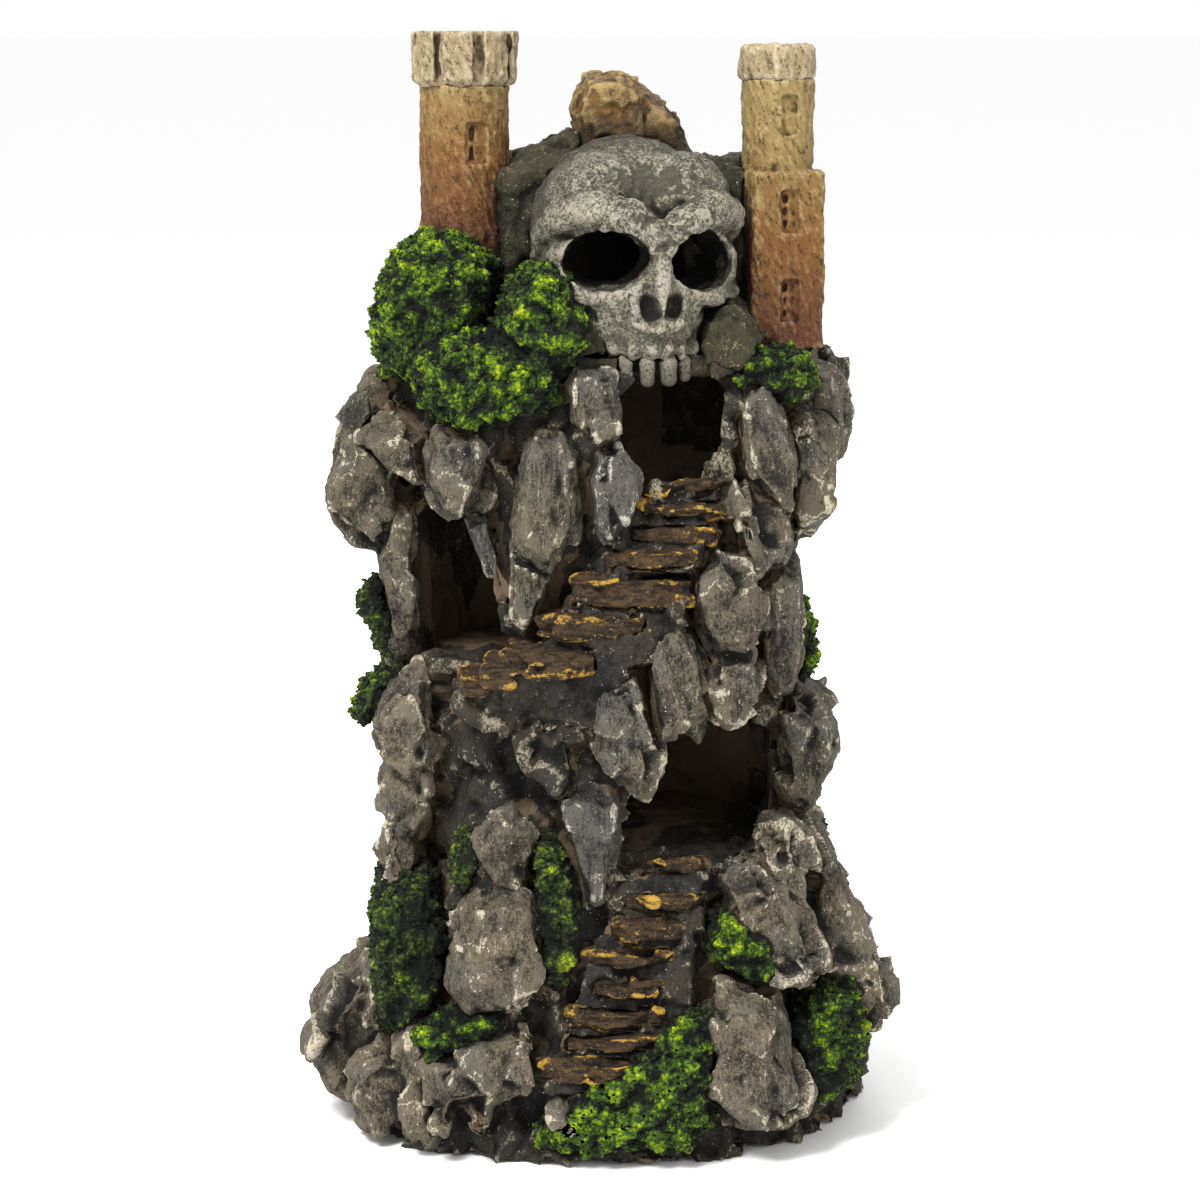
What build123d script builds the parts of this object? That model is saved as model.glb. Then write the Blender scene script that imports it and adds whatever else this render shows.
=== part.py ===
"""Resin cave ornament for an aquarium: a hollow crag with three caves, two flights of stairs, a skull and two towers.

The wall is a stack of hollow courses, open underneath. Crags, treads, towers, skull and moss are castings bonded to it.
Frame: origin at the middle of the foot, +Z up, and the caves open towards -Y. Units are millimetres.
"""

import os
from math import cos, hypot, radians, sin

from build123d import *

# ---------------------------------------------------------------- driving sizes
OVERALL_HEIGHT = 200.0  # foot to battlement top
BODY_WIDTH = 100.0  # rock wall across its foot, crags not counted
BODY_DEPTH = 90.0  # rock wall front to back at its foot
WALL = 5.5  # thickness of the hollow rock wall
FLOOR = 3.5  # thickness of the cave floors and of the roof
FACING = 18.0  # degrees that the skull and both towers look to the right

# The crag outlines below are drawn at this height, width and depth, and stretch with the driving sizes.
DRAWN_HEIGHT, DRAWN_WIDTH, DRAWN_DEPTH = 200.0, 100.0, 90.0
UP = OVERALL_HEIGHT / DRAWN_HEIGHT
ACROSS = BODY_WIDTH / DRAWN_WIDTH
DEEP = BODY_DEPTH / DRAWN_DEPTH

# Heights where one course of the wall ends and the next begins.
FOOT, PLINTH_TOP, SLOPE_TOP, CAVE_FLOOR, LEDGE, ARCH, SHOULDER = (
    UP * h for h in (0.0, 16.0, 34.0, 50.0, 84.0, 118.0, 140.0)
)
ROOF_TOP = SHOULDER + FLOOR
# Centre, half width and half depth of the wall's outline at each of those heights.
OUTLINES = {
    FOOT: (0.5, 49.0, 44.0),
    PLINTH_TOP: (0.0, 48.0, 41.5),
    SLOPE_TOP: (1.0, 40.5, 37.0),
    CAVE_FLOOR: (1.0, 37.5, 33.5),
    LEDGE: (-1.5, 34.5, 30.5),
    ARCH: (-1.0, 37.5, 31.0),
    SHOULDER: (0.0, 39.0, 32.0),
}
CORNERS = 18  # corners in each outline
WAVE_3, WAVE_5 = 0.02, 0.008  # how uneven the outline is, as shares of its radius

# Towers
LEFT_TOWER_X, LEFT_TOWER_Y = -24.5, -4.0
SHAFT_RADIUS = 8.1
BATTLEMENT_RADIUS = 9.6
BATTLEMENT_HEIGHT = 9.7
BATTLEMENT_FLOOR = 3.0  # solid part of the battlement, below its well
PARAPET = 3.2  # thickness of the battlement's rim
MERLONS = 8
CRENEL_WIDTH = 2.0
CRENEL_DEPTH = 1.6
TURRET_DROP = 2.4  # the right tower's top stands this much lower than the left one's
CAP_RADIUS, CAP_HEIGHT, CAP_EDGE = 6.9, 6.2, 1.0
TURRET_RADIUS = 6.4
TURRET_HEIGHT = 16.0
BLOCK_WIDTH, BLOCK_DEPTH = 13.8, 14.0
BLOCK_EDGE = 1.2
BLOCK_X, BLOCK_Y = 32.0, -7.5

# Windows: a recess with a lattice bonded into it
WINDOW_DEPTH = 1.6
LATTICE_THICKNESS = 0.8
BAR = 0.7

# Skull
SKULL_X, SKULL_Y = 5.0, -11.5
SKULL_RADIUS_X, SKULL_RADIUS_Y, SKULL_RADIUS_Z = 18.5, 17.5, 19.5
SKULL_WALL = 4.0
SKULL_HOLE = 9.5  # radius of the hole up from the cave below into the skull
SOCKET_DEPTH = 24.0  # how far behind the face the sockets' cutters start
NOSE_DEPTH = 4.0
TOOTH_DEPTH = 2.6

KEEP_VOLUME = 6.0  # mm3: a chip smaller than this is lost when castings are trimmed to each other

pieces = {}


def at(x, y, z):
    """A point of the drawn crag, stretched to the driving sizes."""
    return (x * ACROSS, y * DEEP, z * UP)


def outline(height, inwards=0.0):
    """Corners of the wall's outline at one of its course heights, moved inwards by a distance."""
    centre, half_width, half_depth = OUTLINES[height]
    corners = []
    for n in range(CORNERS):
        turn = radians(360.0 / CORNERS * n)
        uneven = 1 + WAVE_3 * sin(3 * turn + height / 30) + WAVE_5 * cos(5 * turn - height / 20)
        x = half_width * ACROSS * uneven * cos(turn)
        y = half_depth * DEEP * uneven * sin(turn)
        kept = 1 - inwards / hypot(x, y)
        corners.append((centre * ACROSS + x * kept, y * kept, height))
    return corners


def boulder(shape, back, front, crown=0.72, lean=0.0):
    """Points of a convex rock: an outline of (x, z) at depth back, and the same one drawn in to crown at depth front.

    lean moves the front face up or down against the back.
    """
    middle_x = sum(x for x, _ in shape) / len(shape)
    middle_z = sum(z for _, z in shape) / len(shape)
    rim = [at(x, back, z) for x, z in shape]
    waist = [at(x, back + 0.6 * (front - back), z) for x, z in shape]
    face = [
        at(middle_x + crown * (x - middle_x), front, middle_z + crown * (z - middle_z) + lean) for x, z in shape
    ]
    return rim + waist + face


def save(name, part):
    """Keeps a finished casting under its node name."""
    part.label = name
    pieces[name] = part


def boxes_meet(a, b):
    """True if the bounding boxes of two solids overlap."""
    box_a, box_b = a.bounding_box(), b.bounding_box()
    return all(
        low_a < high_b and low_b < high_a
        for low_a, high_a, low_b, high_b in zip(box_a.min, box_a.max, box_b.min, box_b.max)
    )


def bonded(name, lumps):
    """A casting made of convex lumps, trimmed where it sits on the wall and on the castings that are already there."""
    with BuildPart() as rock:
        for lump in lumps:
            ConvexPolyhedron(lump)
        for seat in [*cores, *pieces.values()]:
            if boxes_meet(rock.part, seat):
                add(seat.solids(), mode=Mode.SUBTRACT)
    with BuildPart() as trimmed:
        add(rock.part.solids().filter_by(lambda solid: solid.volume > KEEP_VOLUME))
    save(name, trimmed.part)


# ---------------------------------------------------------------- hollow rock wall
def opening(shape, back):
    """Cuts a cave mouth of outline (x, z) through the wall, from in front of it to depth back."""
    ConvexPolyhedron(
        [at(x, y, z) for x, z in shape for y in (-60.0, back)],
        mode=Mode.SUBTRACT,
    )


LOWER_CAVE = [(3.5, 51), (3.5, 63), (9, 70), (15, 76), (20, 79), (28, 78.5), (31, 73), (31, 60), (28, 54), (22, 51)]
MIDDLE_CAVE = [(-33, 87), (-34, 104), (-33, 113), (-30, 117), (-25, 115), (-19, 106), (-14, 96), (-14, 88), (-18, 87)]
MOUTH = [(3.5, 120), (3.5, 137), (5, 140), (20, 140), (22, 137), (22, 127), (20, 122), (16, 120)]
JAW_NOTCH = [(3.5, 138), (3.5, 145), (19.5, 145), (19.5, 138)]  # the roof stops short behind the teeth
JAW_NOTCH_BACK = -25.5

courses = {
    "base_plinth": (FOOT, PLINTH_TOP),
    "lower_slope_wall": (PLINTH_TOP, SLOPE_TOP),
    "stair_foot_wall": (SLOPE_TOP, CAVE_FLOOR),
    "lower_cave_wall": (CAVE_FLOOR, LEDGE),
    "middle_cave_wall": (LEDGE, ARCH),
    "mouth_wall": (ARCH, SHOULDER),
}
mouths = {
    "lower_cave_wall": (LOWER_CAVE, -2.0),
    "middle_cave_wall": (MIDDLE_CAVE, -2.0),
    "mouth_wall": (MOUTH, -2.0),
}
cores = []
for name, (bottom, top) in courses.items():
    with BuildPart() as solid_course:
        ConvexPolyhedron(outline(bottom) + outline(top))
    cores.append(solid_course.part)
    with BuildPart() as course:
        add(solid_course.part)
        ConvexPolyhedron(outline(bottom, WALL) + outline(top, WALL), mode=Mode.SUBTRACT)
        if name in mouths:
            opening(*mouths[name])
    save(name, course.part)


def floor_plate(name, height, course, swim_through=None):
    """A plate inside one course of the wall, with its top FLOOR above height, and a hole to swim through."""
    bottom, top = courses[course]
    with BuildPart() as plate:
        ConvexPolyhedron(outline(bottom, WALL) + outline(top, WALL))
        split(bisect_by=Plane.XY.offset(height + FLOOR), keep=Keep.BOTTOM)
        split(bisect_by=Plane.XY.offset(height), keep=Keep.TOP)
        if swim_through:
            with BuildSketch(Plane.XY.offset(height)):
                with Locations(at(*swim_through[:2], 0)[:2]):
                    Ellipse(swim_through[2] * ACROSS, swim_through[3] * DEEP)
            extrude(amount=FLOOR, mode=Mode.SUBTRACT)
    save(name, plate.part)


floor_plate("lower_cave_floor", CAVE_FLOOR, "lower_cave_wall")
floor_plate("middle_cave_floor", LEDGE, "middle_cave_wall", (9.0, 4.0, 15.0, 13.0))

with BuildPart() as roof:
    ConvexPolyhedron(outline(SHOULDER) + [(x, y, ROOF_TOP) for x, y, _ in outline(SHOULDER, FLOOR / 2)])
    with BuildSketch(Plane.XY.offset(SHOULDER)):
        with Locations((SKULL_X * ACROSS, SKULL_Y * DEEP)):
            Circle(SKULL_HOLE)
    extrude(amount=FLOOR, mode=Mode.SUBTRACT)
    opening(JAW_NOTCH, JAW_NOTCH_BACK)
save("roof_plate", roof.part)

# ---------------------------------------------------------------- towers
facing_x, facing_y = sin(radians(FACING)), -cos(radians(FACING))


def wall_plane(x, y, distance, height):
    """A plane on a tower's front face: its x runs to the right along the face, its y runs up, its z points out."""
    return Plane(
        origin=(x + distance * facing_x, y + distance * facing_y, height),
        x_dir=(cos(radians(FACING)), sin(radians(FACING)), 0),
        z_dir=(facing_x, facing_y, 0),
    )


def window_recess(plane, width, height):
    """Cuts a window recess into a tower, with its middle at the plane's origin."""
    with BuildSketch(plane.offset(-WINDOW_DEPTH)) as recess:
        Rectangle(width, height)
    extrude(recess.sketch, amount=2 * WINDOW_DEPTH, mode=Mode.SUBTRACT)


def lattice(plane, width, height, columns, rows):
    """The window's lattice, against the back of its recess, with columns by rows of small panes."""
    pane_width = (width - (columns + 1) * BAR) / columns
    pane_height = (height - (rows + 1) * BAR) / rows
    with BuildSketch(plane.offset(-WINDOW_DEPTH)) as bars:
        Rectangle(width, height)
        with GridLocations(pane_width + BAR, pane_height + BAR, columns, rows):
            Rectangle(pane_width, pane_height, mode=Mode.SUBTRACT)
    extrude(bars.sketch, amount=LATTICE_THICKNESS)


left_x, left_y = LEFT_TOWER_X * ACROSS, LEFT_TOWER_Y * DEEP
battlement_base = OVERALL_HEIGHT - BATTLEMENT_HEIGHT
left_window = (3.7, 7.4, 2, 2)  # width, height, columns, rows
left_window_plane = wall_plane(left_x, left_y, SHAFT_RADIUS, battlement_base - 10.3)

with BuildPart() as left_shaft:
    with BuildSketch(Plane.XY.offset(ROOF_TOP)):
        with Locations((left_x, left_y)):
            Circle(SHAFT_RADIUS)
    extrude(amount=battlement_base - ROOF_TOP)
    window_recess(left_window_plane, *left_window[:2])
save("left_tower_shaft", left_shaft.part)

with BuildPart() as left_lattice:
    lattice(left_window_plane, *left_window)
save("left_tower_window", left_lattice.part)

with BuildPart() as battlement:
    with BuildSketch(Plane.XY.offset(battlement_base)):
        with Locations((left_x, left_y)):
            Circle(BATTLEMENT_RADIUS)
    extrude(amount=BATTLEMENT_HEIGHT)
    with BuildSketch(Plane.XY.offset(battlement_base + BATTLEMENT_FLOOR)):
        with Locations((left_x, left_y)):
            Circle(BATTLEMENT_RADIUS - PARAPET)
    extrude(amount=BATTLEMENT_HEIGHT, mode=Mode.SUBTRACT)
    with BuildSketch(Plane.XY.offset(battlement_base)):
        with Locations((left_x, left_y)):
            with PolarLocations(BATTLEMENT_RADIUS, MERLONS, FACING):
                Rectangle(2 * CRENEL_DEPTH, CRENEL_WIDTH)
    extrude(amount=BATTLEMENT_HEIGHT, mode=Mode.SUBTRACT)
    rim_edges = battlement.edges().filter_by(GeomType.CIRCLE).group_by(Axis.Z)[0]
    chamfer(rim_edges, 1.0)
save("left_tower_battlement", battlement.part)

turret_top = OVERALL_HEIGHT - TURRET_DROP - CAP_HEIGHT
block_top = turret_top - TURRET_HEIGHT
block_x, block_y = BLOCK_X * ACROSS, BLOCK_Y * DEEP
block_windows = (3.6, 7.6, 2, 3)
turret_window = (3.0, 7.0, 2, 2)
face = wall_plane(block_x, block_y, BLOCK_DEPTH / 2, 0.0)
block_window_planes = [
    Plane(face.origin + Vector(0, 0, block_top - drop), face.x_dir, face.z_dir) for drop in (7.4, 23.4)
]
turret_window_plane = wall_plane(block_x, block_y, TURRET_RADIUS, turret_top - 6.2)

with BuildPart() as block:
    with BuildSketch(Plane((block_x, block_y, ROOF_TOP), face.x_dir)):
        RectangleRounded(BLOCK_WIDTH, BLOCK_DEPTH, BLOCK_EDGE)
    extrude(amount=block_top - ROOF_TOP)
    chamfer(block.faces().sort_by(Axis.Z)[-1].edges(), BLOCK_EDGE / 2)
    for plane in block_window_planes:
        window_recess(plane, *block_windows[:2])
save("right_tower_block", block.part)

with BuildPart() as turret:
    with BuildSketch(Plane.XY.offset(block_top)):
        with Locations((block_x, block_y)):
            Circle(TURRET_RADIUS)
    extrude(amount=TURRET_HEIGHT)
    window_recess(turret_window_plane, *turret_window[:2])
save("right_tower_turret", turret.part)

with BuildPart() as cap:
    with BuildSketch(Plane.XY.offset(turret_top)):
        with Locations((block_x, block_y)):
            Circle(CAP_RADIUS)
    extrude(amount=CAP_HEIGHT)
    fillet(cap.edges().filter_by(GeomType.CIRCLE), CAP_EDGE)
save("right_tower_cap", cap.part)

with BuildPart() as right_lattices:
    for plane in block_window_planes:
        lattice(plane, *block_windows)
    lattice(turret_window_plane, *turret_window)
save("right_tower_windows", right_lattices.part)

# ---------------------------------------------------------------- skull
skull_middle = Vector(SKULL_X * ACROSS, SKULL_Y * DEEP, ROOF_TOP + SKULL_RADIUS_Z * UP)


def egg(inwards=0.0):
    """Points of the braincase, as rings of an ellipsoid, moved inwards by a distance."""
    radius_x = SKULL_RADIUS_X * ACROSS - inwards
    radius_y = SKULL_RADIUS_Y * DEEP - inwards
    radius_z = SKULL_RADIUS_Z * UP - inwards
    points = []
    for rise in (-90, -60, -30, 0, 30, 60, 90):
        for turn in range(0, 360, 30):
            points.append(
                (
                    skull_middle.X + radius_x * cos(radians(rise)) * cos(radians(turn)),
                    skull_middle.Y + radius_y * cos(radians(rise)) * sin(radians(turn)),
                    skull_middle.Z + radius_z * sin(radians(rise)),
                )
            )
    return points


def face_point(right, out, height):
    """A point of the face, measured from the skull's middle line: to its right, out of it, and up from the foot."""
    side = (cos(radians(FACING)), sin(radians(FACING)))
    return (
        skull_middle.X + right * ACROSS * side[0] + out * facing_x,
        skull_middle.Y + right * ACROSS * side[1] + out * facing_y,
        height * UP,
    )


# (right, out, height) corners of the face's lumps
BROW = [(-17, 10, 164), (-13, 16, 169), (-2, 20, 169), (-1, 21, 163), (-3, 12, 172), (-14, 8, 172), (-9, 19, 167.5)]
CHEEK = [(-15, 9, 158), (-14, 15, 154), (-6, 19, 155), (-4, 20, 152), (-10, 15, 149), (-14, 9, 150), (-5, 12, 148)]
BRIDGE = [(-2.5, 14, 165), (2.5, 14, 165), (-1.2, 21, 163), (1.2, 21, 163), (-4.5, 18, 154), (4.5, 18, 154)]
BRIDGE += [(-3, 24, 155.5), (3, 24, 155.5), (-4, 12, 150), (4, 12, 150)]
JAW = [(-8, 14, 150), (8, 14, 150), (-5, 22.5, 151), (5, 22.5, 151), (-9, 15, 142.5), (9, 15, 142.5)]
JAW += [(-6.5, 22.5, 142.5), (6.5, 22.5, 142.5)]
SOCKETS = [(-8.6, 159.5, 7.4, 5.2), (8.6, 159.5, 7.0, 5.2)]  # right, height, half width, half height
NOSE = [(-3.4, 147.5), (-0.6, 147), (-0.6, 154), (-1.6, 155)]
TEETH = [(-6.2, 2.4, 4.4), (-3.0, 2.4, 4.6), (0.4, 2.8, 4.6), (3.8, 2.5, 4.2)]  # right, width, length
TEETH_TOP = 142.5

with BuildPart() as skull:
    ConvexPolyhedron(egg())
    for side in (1, -1):
        for lump in (BROW, CHEEK):
            ConvexPolyhedron([face_point(side * right, out, height) for right, out, height in lump])
    for lump in (BRIDGE, JAW):
        ConvexPolyhedron([face_point(*corner) for corner in lump])
    ConvexPolyhedron(egg(SKULL_WALL), mode=Mode.SUBTRACT)
    for right, height, half_width, half_height in SOCKETS:
        with BuildSketch(wall_plane(skull_middle.X, skull_middle.Y, 0.0, height * UP)):
            with Locations((right * ACROSS, 0)):
                Ellipse(half_width * ACROSS, half_height * UP)
        extrude(amount=SOCKET_DEPTH, mode=Mode.SUBTRACT)
    for side in (1, -1):
        ConvexPolyhedron(
            [face_point(side * right, out, height) for right, height in NOSE for out in (24 - NOSE_DEPTH, 30)],
            mode=Mode.SUBTRACT,
        )
    with BuildSketch(Plane.XY.offset(SHOULDER)):
        with Locations((SKULL_X * ACROSS, SKULL_Y * DEEP)):
            Circle(SKULL_HOLE)
    extrude(amount=SKULL_RADIUS_Z * UP, mode=Mode.SUBTRACT)
    add(roof.part, mode=Mode.SUBTRACT)
    add(cores[-1], mode=Mode.SUBTRACT)
save("skull", max(skull.part.solids(), key=lambda solid: solid.volume))

with BuildPart() as teeth:
    for right, width, length in TEETH:
        corners = [
            face_point(right + along * width, out, TEETH_TOP - drop * length)
            for along, out, drop in (
                (0.1, 19.8, 0),
                (0.9, 19.8, 0),
                (0.1, 22.2, 0),
                (0.9, 22.2, 0),
                (0, 19.8, 0.5),
                (1, 19.8, 0.5),
                (0, 19.8 + TOOTH_DEPTH, 0.6),
                (1, 19.8 + TOOTH_DEPTH, 0.6),
                (0.2, 20.2, 1),
                (0.8, 20.2, 1),
                (0.2, 21.8, 1),
                (0.8, 21.8, 1),
            )
        ]
        ConvexPolyhedron(corners)
    for seat in (pieces["skull"], roof.part, cores[-1]):
        add(seat.solids(), mode=Mode.SUBTRACT)
save("teeth", teeth.part)

# ---------------------------------------------------------------- stairs
# (left, right, top, front, thickness) of each tread, from the top of its flight down
UPPER_TREADS = [
    (7.0, 21.0, 121.5, -32.5, 2.0),
    (6.5, 21.5, 117.6, -34.0, 2.2),
    (4.5, 20.0, 113.6, -35.5, 2.4),
    (1.5, 17.0, 109.6, -37.5, 2.6),
    (-5.0, 16.5, 104.6, -39.5, 4.2),
    (-11.0, 8.0, 98.4, -41.0, 3.2),
    (-17.0, -0.5, 93.4, -43.0, 4.4),
    (-21.0, -15.5, 90.2, -41.0, 3.6),
    (-25.0, -19.5, 87.6, -38.5, 3.4),
]
LOWER_TREADS = [
    (8.0, 19.0, 53.2, -34.5, 2.2),
    (3.0, 19.0, 47.2, -37.0, 2.6),
    (2.5, 15.0, 42.8, -39.5, 2.6),
    (-3.0, 13.5, 38.0, -41.5, 2.2),
    (-1.5, 11.5, 33.0, -43.0, 2.2),
    (-5.5, 11.0, 28.0, -44.0, 3.0),
    (-6.0, 12.5, 23.6, -45.0, 2.6),
    (-12.0, 11.0, 19.4, -46.5, 3.6),
]
TREAD_BACK = 14.0  # tread from its front edge to its back
ROUND_END = 3.0  # how much a tread's outline is drawn in at its ends

upper_bed = [
    [at(x, y, z) for x, y, z in ((4, -20, 120.5), (21, -20, 120.5), (4, -30, 120), (21, -30, 120))]
    + [at(x, y, z) for x, y, z in ((2, -20, 104), (21, -20, 104), (2, -36, 106), (17, -36, 106))],
    [at(x, y, z) for x, y, z in ((-4, -22, 102.5), (16, -22, 102.5), (-4, -37.5, 101.5), (15, -37.5, 101.5))]
    + [at(x, y, z) for x, y, z in ((-14, -22, 86), (14, -22, 86), (-12, -40, 90), (12, -39, 90), (2, -36, 106))],
    [at(x, y, z) for x, y, z in ((-22, -24, 86), (2, -24, 92), (-24, -36, 84.5), (-16, -40, 89), (4, -40, 92))]
    + [at(x, y, z) for x, y, z in ((-22, -22, 76), (6, -22, 78), (-16, -35, 77), (6, -38, 80))],
]
lower_bed = [
    [at(x, y, z) for x, y, z in ((3, -24, 52), (20, -24, 52), (4, -33, 51), (19, -33, 51), (-6, -42, 22))]
    + [at(x, y, z) for x, y, z in ((14, -42, 22), (-8, -30, 14), (18, -30, 14), (-10, -44.5, 14), (13, -44.5, 14))],
]


def treads(flight):
    """One flight of treads: flat slabs with drawn-in ends, each let into the bed behind it."""
    for left, right, top, front, thickness in flight:
        back = front + TREAD_BACK
        middle = (left + right) / 2
        nose = [(left, front + ROUND_END), (middle - 2, front), (middle + 3, front + 0.4), (right, front + ROUND_END)]
        with BuildSketch(Plane.XY.offset(top * UP - thickness)) as slab:
            with BuildLine():
                Polyline([at(x, y, 0)[:2] for x, y in [*nose, (right - 1, back), (left + 1, back)]], close=True)
            make_face()
        extrude(slab.sketch, amount=thickness)


for name, flight in (("upper_flight_treads", UPPER_TREADS), ("lower_flight_treads", LOWER_TREADS)):
    with BuildPart() as steps:
        treads(flight)
        for seat in cores:
            add(seat, mode=Mode.SUBTRACT)
    save(name, steps.part)

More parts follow.
